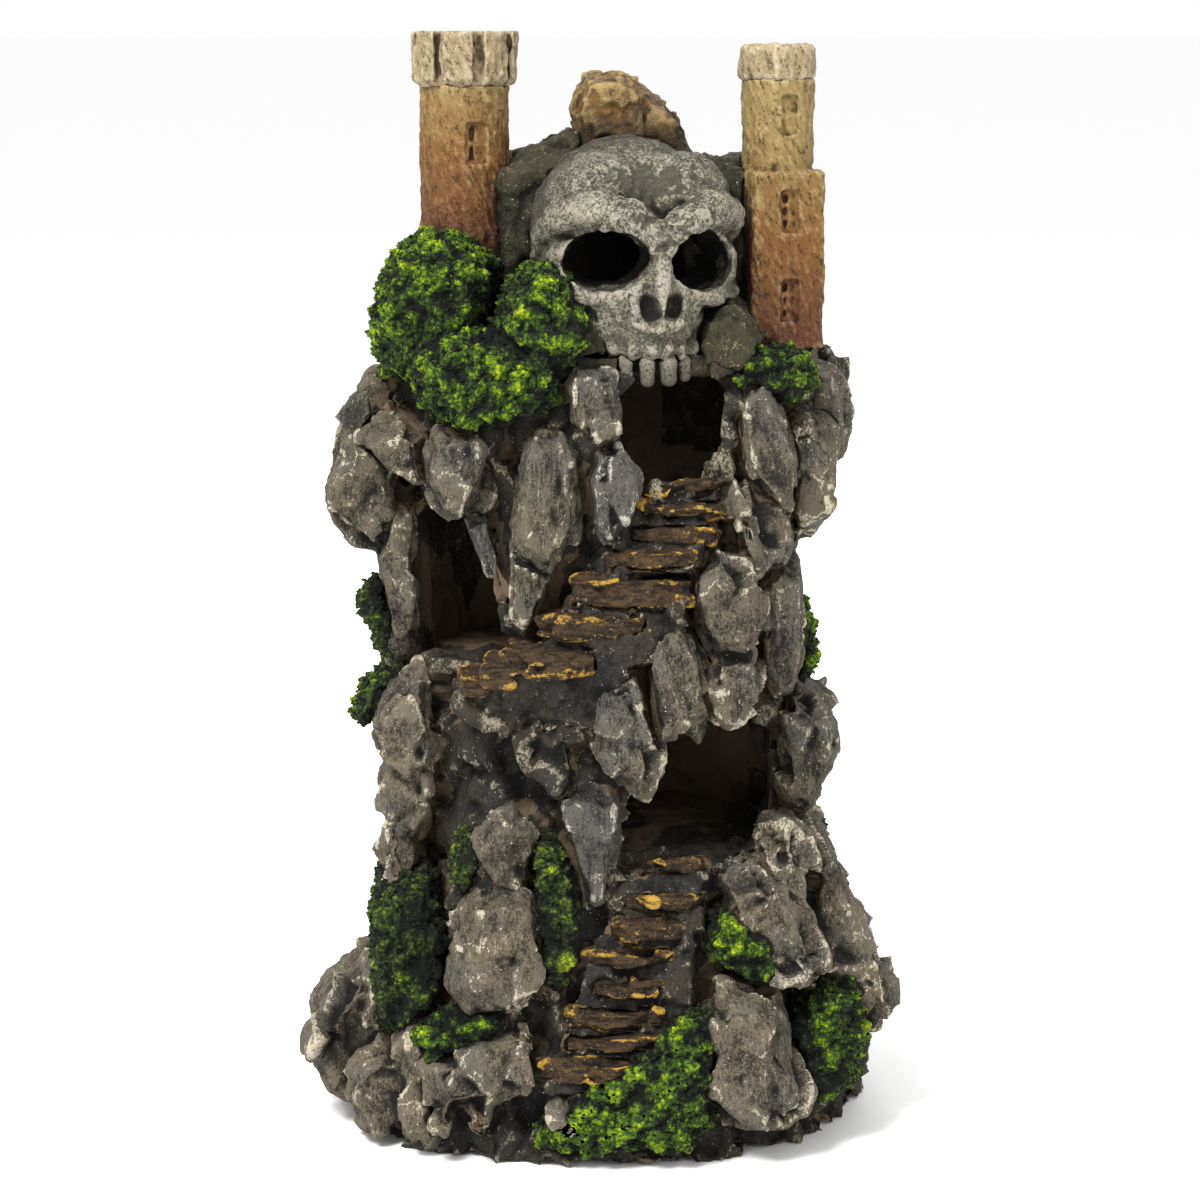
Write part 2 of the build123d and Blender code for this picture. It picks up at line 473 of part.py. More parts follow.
# ---------------------------------------------------------------- crags and moss
# Each casting is a list of lumps: outline (x, z), depth of its back, depth of its front, and how far the face draws in.
CRAGS = {
    "hanging_blade": [
        ([(-13.5, 128), (-11, 131), (-7, 130.5), (-3.8, 127), (-3, 118), (-4, 112), (-9, 104), (-16, 110)], -24, -37),
        ([(-16, 110), (-8, 105), (-12, 97), (-13.5, 95), (-15, 98)], -24, -35),
    ],
    "arch_boulder": [
        ([(-29.5, 131), (-22, 132.5), (-19, 128), (-20.5, 118), (-24, 114.5), (-28, 115.5), (-31, 121)], -20, -35),
    ],
    "arch_shard": [
        ([(-25, 116), (-20.5, 117), (-18, 111), (-16, 99), (-15.3, 96.5), (-17.5, 100), (-22, 110)], -22, -32),
    ],
    "left_overhang_ledge": [
        ([(-43, 128), (-41, 130.5), (-35, 132), (-30, 130), (-29.5, 122), (-32, 120), (-37, 122.5), (-41, 125.5)], -8, -31),
    ],
    "left_shoulder_boulder": [
        ([(-42, 138), (-46, 131), (-48, 125), (-49.5, 117), (-49, 111), (-45, 106), (-40, 105), (-35, 112), (-34, 136)], 8, -18),
        ([(-38, 104), (-41, 106), (-36, 118), (-33, 118), (-33, 87), (-38, 86)], 0, -18),
    ],
    "mouth_left_stone": [
        ([(-6, 139), (-4.5, 142), (3.2, 142), (3.4, 134), (4.5, 129.5), (0, 127), (-5, 132)], -22, -35),
    ],
    "mouth_left_slab": [
        ([(-2, 123), (-0.5, 127), (4, 128), (7.5, 124), (7.5, 120), (5, 114), (1.5, 109.5), (-0.5, 112)], -24, -37.5),
    ],
    "mouth_right_slab": [
        ([(24, 136), (26, 139.5), (29, 139.5), (33, 131), (35.5, 125), (34.5, 116), (33, 114), (30, 120), (26, 122)], -12, -30),
    ],
    "right_crag_tall": [
        ([(32, 134), (36, 133), (41, 130.5), (43.5, 126), (42, 114), (40, 112), (36, 110), (34, 118)], 0, -22),
        ([(35, 112), (40, 113), (38, 109), (34, 106), (32, 108)], -4, -18),
    ],
    "right_crag_outer": [
        ([(37, 143), (43, 141), (44.5, 137), (43, 134), (45.5, 128), (45, 122), (42, 118), (38, 120), (36, 134)], 14, -10),
    ],
    "right_stair_stone": [
        ([(22, 117), (22.5, 120), (26, 121), (28, 117), (29, 108), (27.5, 104.5), (25, 112)], -20, -34.5),
        ([(27, 118), (31, 120), (34, 117), (35.5, 110), (33, 105), (29, 104)], -12, -27),
    ],
    "stair_boulder_upper": [
        ([(16.5, 106), (21, 109.5), (25, 107), (28.5, 100), (28.5, 90), (20, 90), (17, 97)], -22, -39),
        ([(20, 92), (28.5, 92), (29, 85), (27, 80.5), (23, 78), (20, 79)], -22, -38),
    ],
    "stair_boulder_lower": [
        ([(8, 93), (11, 98), (14, 98), (18.5, 92), (20, 86), (19, 81), (14, 76), (10.5, 75), (9, 82)], -24, -41),
    ],
    "hanging_crag": [
        ([(-1, 88), (6, 90), (8, 82), (10.5, 70), (9.8, 67), (8, 66), (1, 70), (-1.5, 74)], -24, -42),
    ],
    "ledge_face": [
        ([(-15, 76), (-12, 82), (-6, 82), (-5, 72), (-2.5, 68), (-5, 66), (-11, 69), (-14, 72)], -24, -38),
        ([(-26, 84), (-20, 86), (-14, 82), (-14, 76), (-20, 77), (-26, 80)], -20, -35),
    ],
    "right_column": [
        ([(28, 104), (32, 107), (36, 105), (36.5, 95), (37, 87), (35, 80), (32, 79), (29, 84)], 0, -24),
    ],
    "right_lower_crag": [
        ([(34, 84), (37, 81), (42.5, 77), (44, 74), (43.5, 69), (40, 60), (38.5, 57), (33, 60), (32, 74)], 8, -21),
    ],
    "right_buttress": [
        ([(28, 58.5), (31, 60.5), (36, 60), (40, 51), (38, 43), (33, 44), (30, 55)], -8, -31),
        ([(21, 50), (28, 52), (37, 45), (41, 36), (38, 29), (29, 30), (22, 40)], -16, -38),
        ([(38, 56), (41, 52), (45, 43), (48, 38), (52, 29), (55.5, 23), (51, 16), (42, 18), (36, 40)], 6, -24),
    ],
    "left_mid_boulder": [
        ([(-41.5, 76), (-39.5, 81), (-32, 86), (-29.5, 82), (-28.5, 73), (-30, 68.5), (-35, 65), (-41, 71)], -4, -30),
        ([(-41, 63), (-39, 72), (-29.5, 70), (-30, 60), (-33, 54), (-38, 57)], 2, -27),
        ([(-40, 60), (-34, 60), (-32, 50), (-36, 40), (-40, 46)], 4, -24),
    ],
    "lower_centre_boulder": [
        ([(-22.5, 57), (-19, 61.5), (-15.5, 65), (-12, 61), (-10.5, 56), (-12, 48), (-20, 48)], -24, -39),
        ([(-27, 42), (-22, 50), (-12, 50), (-9, 43), (-9, 34), (-13, 27), (-22, 25), (-27.5, 31)], -26, -44),
    ],
    "cave_left_shard": [
        ([(-8, 67), (-1, 68), (3.2, 66), (3.4, 58), (2.5, 52), (0.5, 45), (-2.5, 44), (-5, 54)], -26, -38),
    ],
    "base_left_wedge": [
        ([(-55.5, 15), (-51, 22), (-46, 28), (-40, 32), (-36, 22), (-38, 6), (-44, 2), (-51, 4), (-53, 10)], 6, -22),
    ],
    "base_left_stones": [
        ([(-46, 8), (-44.5, 14), (-40.5, 18.5), (-36, 18), (-35, 3), (-40, 0.5), (-44, 2)], -12, -33),
        ([(-36.5, 16), (-34.5, 25), (-31, 24), (-29, 10), (-29.5, 1), (-34, 0), (-36, 3)], -22, -40),
    ],
    "base_centre_slab": [
        ([(-33, 18), (-24, 22), (-16, 26), (-11, 26), (-10, 18), (-11, 12), (-18, 10), (-30, 9)], -30, -46.5),
        ([(-30, 10), (-27, 11), (-25, 8), (-27, 4), (-30, 6)], -30, -44.5),
        ([(-24.5, 10), (-19, 10.5), (-19, 7), (-23, 5)], -34, -46.5),
        ([(-9, 14), (-5, 15), (-3, 11), (-5, 6), (-9, 8)], -34, -47),
    ],
    "base_front_boulder": [
        ([(18, 29), (22, 33), (28, 32), (33, 25), (33, 18), (38, 12), (34, 5), (24, 4), (18, 12)], -26, -45),
    ],
    "summit_crag": [
        ([(-6, 176), (-4.5, 188), (-3, 192), (4, 192.5), (9, 189), (10, 176)], 12, -6),
        ([(4, 176), (8, 189), (12, 187.5), (15, 181), (18, 175), (17, 168)], 12, -5),
    ],
    "jaw_side_rocks": [
        ([(-9, 139), (3, 139), (3, 145), (0, 151), (-5, 153), (-10, 149)], -22, -30),
        ([(17.5, 138), (26, 139), (30, 146), (24, 153), (19, 151), (17, 145)], -8, -27),
    ],
    "tower_saddles": [
        ([(-20, 144), (-19, 177), (-12, 177), (-4, 182), (-2, 144)], 14, -14),
        ([(12, 144), (14, 176), (20, 174), (24, 176), (28, 178), (28, 144)], 12, -12),
    ],
    "back_upper_crags": [
        ([(-36, 112), (-40, 128), (-30, 146), (-14, 148), (-10, 124), (-20, 108)], 20, 37),
        ([(-12, 118), (-14, 152), (2, 168), (14, 160), (16, 128), (4, 112)], 22, 38),
        ([(16, 108), (14, 140), (26, 156), (38, 142), (41, 122), (30, 104)], 16, 34),
        ([(-26, 140), (-24, 166), (-8, 176), (14, 174), (24, 160), (20, 140)], 4, 24),
    ],
    "back_middle_crags": [
        ([(-38, 64), (-41, 82), (-34, 104), (-20, 106), (-16, 80), (-24, 60)], 12, 36),
        ([(-18, 62), (-14, 100), (0, 112), (10, 98), (8, 66)], 22, 38.5),
        ([(10, 56), (12, 96), (26, 104), (37, 92), (40, 72), (28, 54)], 14, 36),
    ],
    "back_lower_crags": [
        ([(-46, 10), (-43, 34), (-35, 60), (-20, 56), (-16, 26), (-28, 8)], 8, 43),
        ([(-20, 6), (-16, 52), (-2, 62), (10, 50), (10, 8)], 24, 47.5),
        ([(10, 8), (14, 46), (28, 54), (44, 38), (50, 14), (34, 4)], 8, 43),
    ],
}

MOSS = {
    "upper_left_moss": [
        ([(-41, 147), (-39, 156), (-36, 161), (-31, 164.5), (-25, 164), (-18, 158), (-20, 148), (-30, 138), (-39, 139)], 2, -30),
        ([(-19, 147), (-16.5, 155), (-12, 159.5), (-8, 159.5), (-5, 153), (-1, 149), (-2, 143), (-8, 140)], -14, -37),
        ([(-34, 144), (-31, 135), (-25, 130), (-14, 132), (-6, 136), (-5, 144), (-16, 148), (-28, 148)], -18, -37),
    ],
    "right_shoulder_moss": [
        ([(21, 139), (21, 144), (28, 145), (36, 143), (39, 138), (34, 134), (31, 138), (26, 140)], -10, -27),
    ],
    "left_edge_moss": [
        ([(-44.5, 96), (-42, 100), (-37, 100), (-35, 90), (-38, 84), (-41, 90)], 2, -14),
        ([(-45.5, 75), (-44, 80), (-40, 82), (-36, 88), (-34, 84), (-40, 74), (-44, 73)], 2, -16),
    ],
    "lower_left_moss": [
        ([(-41, 46), (-36, 51), (-30, 50), (-27, 40), (-27, 28), (-33, 19), (-41, 20), (-42, 34)], -2, -35),
    ],
    "centre_moss": [
        ([(-26, 56), (-23, 59), (-21, 55), (-21, 49), (-25, 46), (-27, 50)], -18, -35),
        ([(-12, 58), (-8, 58), (-4.5, 50), (-4, 43), (-5, 36), (-8, 28), (-10.5, 32), (-11, 48)], -24, -42),
    ],
    "base_front_moss": [
        ([(-34, 24), (-20, 29), (-15, 27), (-22, 20), (-33, 17)], -26, -43),
        ([(-12, 8), (-2, 16), (8, 16), (14, 21), (15, 28), (20, 29), (22, 14), (18, 3), (0, 1), (-12, 2)], -34, -47.5),
    ],
    "right_moss": [
        ([(35, 95), (38, 95), (39.5, 91), (38, 87), (40, 84), (38.5, 79), (35, 80)], 12, -8),
        ([(38, 57), (42, 52), (43, 47), (38, 44), (35, 52)], 12, -6),
        ([(19, 44), (23, 45), (30, 41), (34, 33), (31, 30), (20, 35)], -20, -40),
        ([(34, 26), (40, 31), (46, 30), (49, 20), (47, 10), (40, 6), (35, 10)], -4, -35),
    ],
    "back_moss": [
        ([(-30, 44), (-20, 56), (-8, 50), (-10, 38), (-24, 36)], 20, 46),
        ([(12, 84), (20, 98), (30, 90), (28, 80)], 14, 38.5),
        ([(-28, 134), (-18, 148), (-6, 142), (-12, 130)], 18, 40),
    ],
}

bonded("stair_beds", [*upper_bed, *lower_bed])
for name, lumps in [*CRAGS.items(), *MOSS.items()]:
    bonded(name, [boulder(*lump) for lump in lumps])

# ---------------------------------------------------------------- files
os.makedirs("parts", exist_ok=True)
for name, part in pieces.items():
    export_step(part, f"parts/{name}.step")
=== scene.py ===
"""The looks of a hollow aquarium cave ornament, built round its packed castings.

Every casting of the frame is remade at full detail: chipped and dry-brushed rock, granular moss, a
weathered skull, tool-marked towers and gilded steps. Sizes are in millimetres unless a comment says
otherwise, and MM makes them metres.
"""

from __future__ import annotations

import logging
import math
import sys
from collections.abc import Iterable, Sequence
from dataclasses import dataclass
from enum import Enum

import bpy
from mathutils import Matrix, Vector


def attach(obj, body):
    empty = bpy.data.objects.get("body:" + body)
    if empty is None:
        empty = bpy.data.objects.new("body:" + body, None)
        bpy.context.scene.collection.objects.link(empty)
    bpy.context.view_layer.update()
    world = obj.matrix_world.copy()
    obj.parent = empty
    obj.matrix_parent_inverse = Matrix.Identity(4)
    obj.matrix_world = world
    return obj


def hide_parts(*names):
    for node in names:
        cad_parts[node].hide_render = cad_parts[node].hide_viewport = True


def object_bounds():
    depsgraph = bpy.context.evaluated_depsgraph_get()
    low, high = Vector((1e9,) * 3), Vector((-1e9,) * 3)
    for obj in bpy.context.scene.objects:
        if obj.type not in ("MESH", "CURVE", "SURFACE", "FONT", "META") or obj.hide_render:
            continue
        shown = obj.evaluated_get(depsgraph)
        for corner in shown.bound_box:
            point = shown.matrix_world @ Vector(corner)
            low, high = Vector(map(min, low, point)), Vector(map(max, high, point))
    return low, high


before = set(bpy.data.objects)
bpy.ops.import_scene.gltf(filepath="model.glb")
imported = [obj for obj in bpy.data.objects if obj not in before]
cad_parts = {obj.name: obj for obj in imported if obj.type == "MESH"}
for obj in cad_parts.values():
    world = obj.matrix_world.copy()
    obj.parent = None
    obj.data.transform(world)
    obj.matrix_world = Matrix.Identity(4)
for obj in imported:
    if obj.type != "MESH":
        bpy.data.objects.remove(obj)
CAD_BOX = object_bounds()

MM = 0.001
BODY = "root"
SKULL_SEED = 90
COARSE = 1.0
log = logging.getLogger("cave_ornament")

Colour = tuple[float, float, float]
Triple = tuple[float, float, float]


def paint(code: str) -> Colour:
    """Turns a hex colour as a paint chart prints it into linear light.

    Args:
        code: Six hex digits, such as "4a4742".

    Returns:
        Red, green and blue, each from 0 to 1.
    """
    shares = (int(code[at : at + 2], 16) / 255 for at in (0, 2, 4))
    return tuple(
        share / 12.92 if share <= 0.04045 else ((share + 0.055) / 1.055) ** 2.4
        for share in shares
    )


# ---------------------------------------------------------------- node graphs
class Value:
    """A number socket that takes part in arithmetic, where every operator adds a Math node to its graph."""

    def __init__(self, graph: Graph, socket: bpy.types.NodeSocket) -> None:
        """Wraps a socket.

        Args:
            graph: The graph that new nodes go into.
            socket: The output socket that carries the number.
        """
        self.graph = graph
        self.socket = socket

    def _math(self, operation: str, *operands: Value | float) -> Value:
        """Adds one Math node and returns its result."""
        return self.graph.value("ShaderNodeMath", {"operation": operation}, dict(enumerate(operands)))

    def __add__(self, other: Value | float) -> Value:
        """Self plus other."""
        return self._math("ADD", self, other)

    def __radd__(self, other: Value | float) -> Value:
        """Other plus self."""
        return self._math("ADD", other, self)

    def __sub__(self, other: Value | float) -> Value:
        """Self minus other."""
        return self._math("SUBTRACT", self, other)

    def __rsub__(self, other: Value | float) -> Value:
        """Other minus self."""
        return self._math("SUBTRACT", other, self)

    def __mul__(self, other: Value | float) -> Value:
        """Self times other."""
        return self._math("MULTIPLY", self, other)

    def __rmul__(self, other: Value | float) -> Value:
        """Other times self."""
        return self._math("MULTIPLY", other, self)

    def __truediv__(self, other: Value | float) -> Value:
        """Self divided by other."""
        return self._math("DIVIDE", self, other)

    def least(self, other: Value | float) -> Value:
        """The smaller of self and other."""
        return self._math("MINIMUM", self, other)

    def most(self, other: Value | float) -> Value:
        """The larger of self and other."""
        return self._math("MAXIMUM", self, other)

    def rise(self, low: float, high: float) -> Value:
        """A smooth step.

        Args:
            low: The number at which the step starts.
            high: The number at which it is complete. Below low, it makes a falling step.

        Returns:
            0 before the step, 1 after it.
        """
        step = self.graph.value(
            "ShaderNodeMapRange",
            {"interpolation_type": "SMOOTHSTEP"},
            {"Value": self, "From Min": min(low, high), "From Max": max(low, high)},
        )
        return step if low <= high else 1.0 - step


class Graph:
    """A shader or geometry node tree, with one method that makes any node."""

    def __init__(self, tree: bpy.types.NodeTree) -> None:
        """Works on a node tree.

        Args:
            tree: The tree that nodes are added to.
        """
        self.tree = tree

    def node(self, kind: str, settings: dict | None = None, inputs: dict | None = None) -> bpy.types.Node:
        """Adds a node.

        Args:
            kind: The node's type name.
            settings: Properties of the node, set first because they choose its sockets.
            inputs: What each input socket gets, by name or by place among the sockets in use.

        Returns:
            The new node.
        """
        made = self.tree.nodes.new(kind)
        for name, setting in (settings or {}).items():
            setattr(made, name, setting)
        in_use = [socket for socket in made.inputs if socket.enabled]
        for key, given in (inputs or {}).items():
            socket = in_use[key] if isinstance(key, int) else next(s for s in in_use if s.name == key)
            source = given.socket if isinstance(given, Value) else given
            if isinstance(source, bpy.types.NodeSocket):
                self.tree.links.new(source, socket)
            elif socket.type == "RGBA":
                socket.default_value = (*source, 1.0)
            else:
                socket.default_value = source
        return made

    def out(
        self, kind: str, settings: dict | None = None, inputs: dict | None = None, name: str | None = None
    ) -> bpy.types.NodeSocket:
        """Adds a node and returns one output socket: the named one, or the first in use."""
        made = self.node(kind, settings, inputs)
        return next(s for s in made.outputs if s.enabled and name in (None, s.name))

    def value(
        self, kind: str, settings: dict | None = None, inputs: dict | None = None, name: str | None = None
    ) -> Value:
        """Adds a node and returns one output as a Value."""
        return Value(self, self.out(kind, settings, inputs, name))

    def vector(self, operation: str, *operands: object) -> bpy.types.NodeSocket:
        """Adds a Vector Math node and returns its vector."""
        return self.out("ShaderNodeVectorMath", {"operation": operation}, dict(enumerate(operands)))

    def scaled(self, vector: object, factor: Value | float) -> bpy.types.NodeSocket:
        """A vector times a number."""
        return self.out("ShaderNodeVectorMath", {"operation": "SCALE"}, {"Vector": vector, "Scale": factor})

    def dot(self, one: object, other: object) -> Value:
        """The dot product of two vectors."""
        return self.value("ShaderNodeVectorMath", {"operation": "DOT_PRODUCT"}, {0: one, 1: other})

    def parts(self, vector: object) -> tuple[Value, Value, Value]:
        """The three numbers of a vector."""
        split = self.node("ShaderNodeSeparateXYZ", None, {"Vector": vector})
        return tuple(Value(self, socket) for socket in split.outputs)

    def blend(self, one: object, other: object, share: Value | float) -> bpy.types.NodeSocket:
        """Two colours mixed.

        Args:
            one: The colour at share 0.
            other: The colour at share 1.
            share: How much of the other.

        Returns:
            The mixed colour's socket.
        """
        return self.out("ShaderNodeMix", {"data_type": "RGBA"}, {"Factor": share, "A": one, "B": other})

    def noise(
        self, where: object, size: float, detail: float = 3.0, roughness: float = 0.55
    ) -> bpy.types.Node:
        """A noise texture node whose features are size across."""
        inputs = {"Vector": where, "Scale": 1 / size, "Detail": detail, "Roughness": roughness}
        return self.node("ShaderNodeTexNoise", None, inputs)

    def shaken(
        self, where: object, size: float, reach: float, detail: float = 2.0
    ) -> bpy.types.NodeSocket:
        """A position moved about, so that what is drawn on it gets ragged.

        Args:
            where: The position.
            size: How far apart the moves differ.
            reach: How far it is moved.
            detail: How finely the moves are broken up.

        Returns:
            The moved position.
        """
        wander = self.vector("SUBTRACT", self.noise(where, size, detail).outputs[1], (0.5, 0.5, 0.5))
        return self.vector("ADD", where, self.scaled(wander, reach))

    def cloud(self, where: object, size: float, detail: float = 3.0, roughness: float = 0.55) -> Value:
        """Noise as a number, about 0.25 to 0.75 with its middle at 0.5."""
        return Value(self, self.noise(where, size, detail, roughness).outputs[0])

    def cells(self, where: object, size: float, feature: str = "F1") -> bpy.types.Node:
        """A Voronoi node whose cells are size across."""
        return self.node("ShaderNodeTexVoronoi", {"feature": feature}, {"Vector": where, "Scale": 1 / size})


# ---------------------------------------------------------------- bench work
def pick(pieces: Iterable[bpy.types.Object]) -> None:
    """Selects only these pieces and makes the first one active."""
    bpy.ops.object.select_all(action="DESELECT")
    chosen = list(pieces)
    for piece in chosen:
        piece.select_set(True)
    bpy.context.view_layer.objects.active = chosen[0]


def apply_modifiers(piece: bpy.types.Object) -> None:
    """Applies all of a piece's modifiers, in order."""
    pick([piece])
    for modifier in list(piece.modifiers):
        bpy.ops.object.modifier_apply(modifier=modifier.name)


def joined(pieces: Sequence[bpy.types.Object], name: str) -> bpy.types.Object:
    """Joins pieces into one.

    Args:
        pieces: The pieces, which are used up.
        name: The name of the result.

    Returns:
        The joined piece.
    """
    pick(pieces)
    if len(pieces) > 1:
        bpy.ops.object.join()
    made = bpy.context.view_layer.objects.active
    made.name = name
    return made


def casting(name: str, nodes: Sequence[str]) -> bpy.types.Object:
    """A copy of castings of the frame, merged, to work on.

    Args:
        name: The name of the new piece.
        nodes: The frame's nodes that it is made from.

    Returns:
        The new piece, with its place in its mesh.
    """
    copies = []
    for node in nodes:
        copy = bpy.data.objects.new(name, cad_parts[node].data.copy())
        bpy.context.collection.objects.link(copy)
        copies.append(copy)
    made = joined(copies, name)
    made.data.materials.clear()
    bpy.ops.object.mode_set(mode="EDIT")
    bpy.ops.mesh.select_all(action="SELECT")
    bpy.ops.mesh.remove_doubles(threshold=0.01 * MM)
    bpy.ops.object.mode_set(mode="OBJECT")
    return made


def remesh(piece: bpy.types.Object, voxel: float, rounds: int) -> None:
    """Makes a piece one even skin.

    Args:
        piece: The piece, whose closed shells are fused.
        voxel: The size of the new skin's faces.
        rounds: How many times its corners are smoothed.
    """
    skin = piece.modifiers.new("skin", "REMESH")
    skin.mode = "VOXEL"
    skin.voxel_size = voxel * COARSE * MM
    if rounds:
        smooth = piece.modifiers.new("rounded", "SMOOTH")
        smooth.factor = 0.5
        smooth.iterations = rounds
    apply_modifiers(piece)


def geometry_graph(name: str) -> tuple[Graph, bpy.types.NodeSocket]:
    """Starts a geometry node tree.

    Args:
        name: The tree's name.

    Returns:
        The graph, and the socket that brings the piece's geometry.
    """
    tree = bpy.data.node_groups.new(name, "GeometryNodeTree")
    tree.interface.new_socket("Geometry", in_out="INPUT", socket_type="NodeSocketGeometry")
    tree.interface.new_socket("Geometry", in_out="OUTPUT", socket_type="NodeSocketGeometry")
    graph = Graph(tree)
    return graph, graph.out("NodeGroupInput")


def run_graph(piece: bpy.types.Object, graph: Graph, geometry: bpy.types.NodeSocket) -> None:
    """Ends a geometry graph with its result, and applies it to a piece.

    Args:
        piece: The piece to change.
        graph: The graph.
        geometry: The socket that carries the finished geometry.
    """
    graph.node("NodeGroupOutput", None, {0: geometry})
    modifier = piece.modifiers.new(graph.tree.name, "NODES")
    modifier.node_group = graph.tree
    apply_modifiers(piece)
    bpy.data.node_groups.remove(graph.tree)


def millimetres(graph: Graph) -> bpy.types.NodeSocket:
    """The position of a geometry graph's points, in millimetres."""
    return graph.scaled(graph.out("GeometryNodeInputPosition"), 1 / MM)


def from_axis(graph: Graph) -> bpy.types.NodeSocket:
    """The level direction from the ornament's upright axis to each point."""
    return graph.vector("NORMALIZE", graph.vector("MULTIPLY", millimetres(graph), (1.0, 1.0, 0.0)))


def kept_in_box(graph: Graph, geometry: bpy.types.NodeSocket) -> bpy.types.NodeSocket:
    """Moves whatever sticks out of the ornament's box back to the box.

    Args:
        graph: The geometry graph.
        geometry: The skin.

    Returns:
        The skin inside the box.
    """
    low, high = (tuple(corner) for corner in CAD_BOX)
    place = graph.out("GeometryNodeInputPosition")
    kept = graph.vector("MINIMUM", graph.vector("MAXIMUM", place, low), high)
    return graph.out("GeometryNodeSetPosition", None, {"Geometry": geometry, "Position": kept})


def moved_out(graph: Graph, geometry: bpy.types.NodeSocket, height: Value) -> bpy.types.NodeSocket:
    """Moves a skin along its normals, kept inside the ornament's box.

    Args:
        graph: The geometry graph.
        geometry: The skin.
        height: How far each point moves out.

    Returns:
        The moved skin.
    """
    offset = graph.scaled(graph.out("GeometryNodeInputNormal"), height * MM)
    moved = graph.out("GeometryNodeSetPosition", None, {"Geometry": geometry, "Offset": offset})
    return kept_in_box(graph, moved)


def averaged(graph: Graph, number: Value) -> Value:
    """A number averaged once with its neighbours on the skin."""
    inputs = {"Value": number, "Iterations": 1}
    return graph.value("GeometryNodeBlurAttribute", {"data_type": "FLOAT"}, inputs)


def stored(graph: Graph, geometry: bpy.types.NodeSocket, name: str, number: Value) -> bpy.types.NodeSocket:
    """Keeps a number at every point of a skin, under a name that a finish reads.

    Args:
        graph: The geometry graph.
        geometry: The skin.
        name: The attribute's name.
        number: What it holds.

    Returns:
        The skin with the attribute.
    """
    settings = {"data_type": "FLOAT", "domain": "POINT"}
    inputs = {"Geometry": geometry, "Name": name, "Value": number}
    return graph.out("GeometryNodeStoreNamedAttribute", settings, inputs)


# ---------------------------------------------------------------- carving
@dataclass(frozen=True)
class Chips:
    """One size of broken facet.

    Attributes:
        size: How far across a facet is.
        tilt: How steeply facets lean against the surface.
        step: How much higher one facet stands than its neighbour.
    """

    size: float
    tilt: float
    step: float = 0.0


@dataclass(frozen=True)
class Relief:
    """How a casting's surface is sculpted.

    Attributes:
        voxel: The size of the skin's faces.
        rounds: How much the plain shape is rounded first.
        chips: The sizes of broken facet, largest first.
        swell: The height of broad waves, and swell_size their length.
        grit: The height of fine grain, and grit_size its length.
        bedding: How the rock's layers lie, as turns about X, Y and Z in degrees.
        stretch: How many times longer than wide the facets are, along the layers.
        inner: The share of the relief that a wall's inner side gets.
    """

    voxel: float = 0.5
    rounds: int = 4
    chips: tuple[Chips, ...] = ()
    swell: float = 0.0
    swell_size: float = 14.0
    grit: float = 0.12
    grit_size: float = 1.2
    bedding: Triple = (0.0, 0.0, 0.0)
    stretch: float = 1.0
    inner: float = 1.0

    def height(self, graph: Graph, seed: int) -> Value:
        """The carved height over the surface.

        Args:
            graph: The geometry graph.
            seed: Makes each casting's pattern its own.

        Returns:
            The height at each point.
        """
        turn = tuple(math.radians(angle) for angle in self.bedding)
        turned = graph.out(
            "ShaderNodeVectorRotate",
            {"rotation_type": "EULER_XYZ"},
            {"Vector": millimetres(graph), "Rotation": turn},
        )
        layered = graph.vector("MULTIPLY", turned, (1.0, 1.0, 1 / self.stretch))
        where = graph.vector("ADD", layered, (seed * 41.7, seed * 23.9, seed * 67.3))
        swell = graph.cloud(where, self.swell_size, 2.0) - 0.5
        grit = graph.cloud(where, self.grit_size, 3.0, 0.7) - 0.5
        total = swell * (4 * self.swell) + grit * (4 * self.grit)
        for chips in self.chips:
            shaken = graph.shaken(where, chips.size, 0.5 * chips.size)
            cell = graph.cells(shaken, chips.size)
            away = graph.vector("SUBTRACT", shaken, cell.outputs["Position"])
            lean = graph.vector("SUBTRACT", cell.outputs["Color"], (0.5, 0.5, 0.5))
            level = graph.dot(lean, (0.0, 0.6, -0.8))
            total = total + graph.dot(away, lean) * (2 * chips.tilt) + level * (2 * chips.step)
        if self.inner < 1:
            outward = graph.dot(from_axis(graph), graph.out("GeometryNodeInputNormal"))
            total = total * (outward.rise(-0.3, 0.3) * (1 - self.inner) + self.inner)
        return averaged(graph, total)

    def surface(self, graph: Graph, geometry: bpy.types.NodeSocket, seed: int) -> bpy.types.NodeSocket:
        """The carved skin.

        Args:
            graph: The geometry graph.
            geometry: The plain skin.
            seed: Makes its pattern its own.

        Returns:
            The skin with its relief.
        """
        return moved_out(graph, geometry, self.height(graph, seed))

    def carve(self, piece: bpy.types.Object, seed: int) -> None:
        """Remakes a piece's skin and carves it.

        Args:
            piece: The plain piece.
            seed: Makes its pattern its own.
        """
        remesh(piece, self.voxel, self.rounds)
        graph, geometry = geometry_graph("carve")
        run_graph(piece, graph, self.surface(graph, geometry, seed))
        pick([piece])
        bpy.ops.object.shade_smooth()


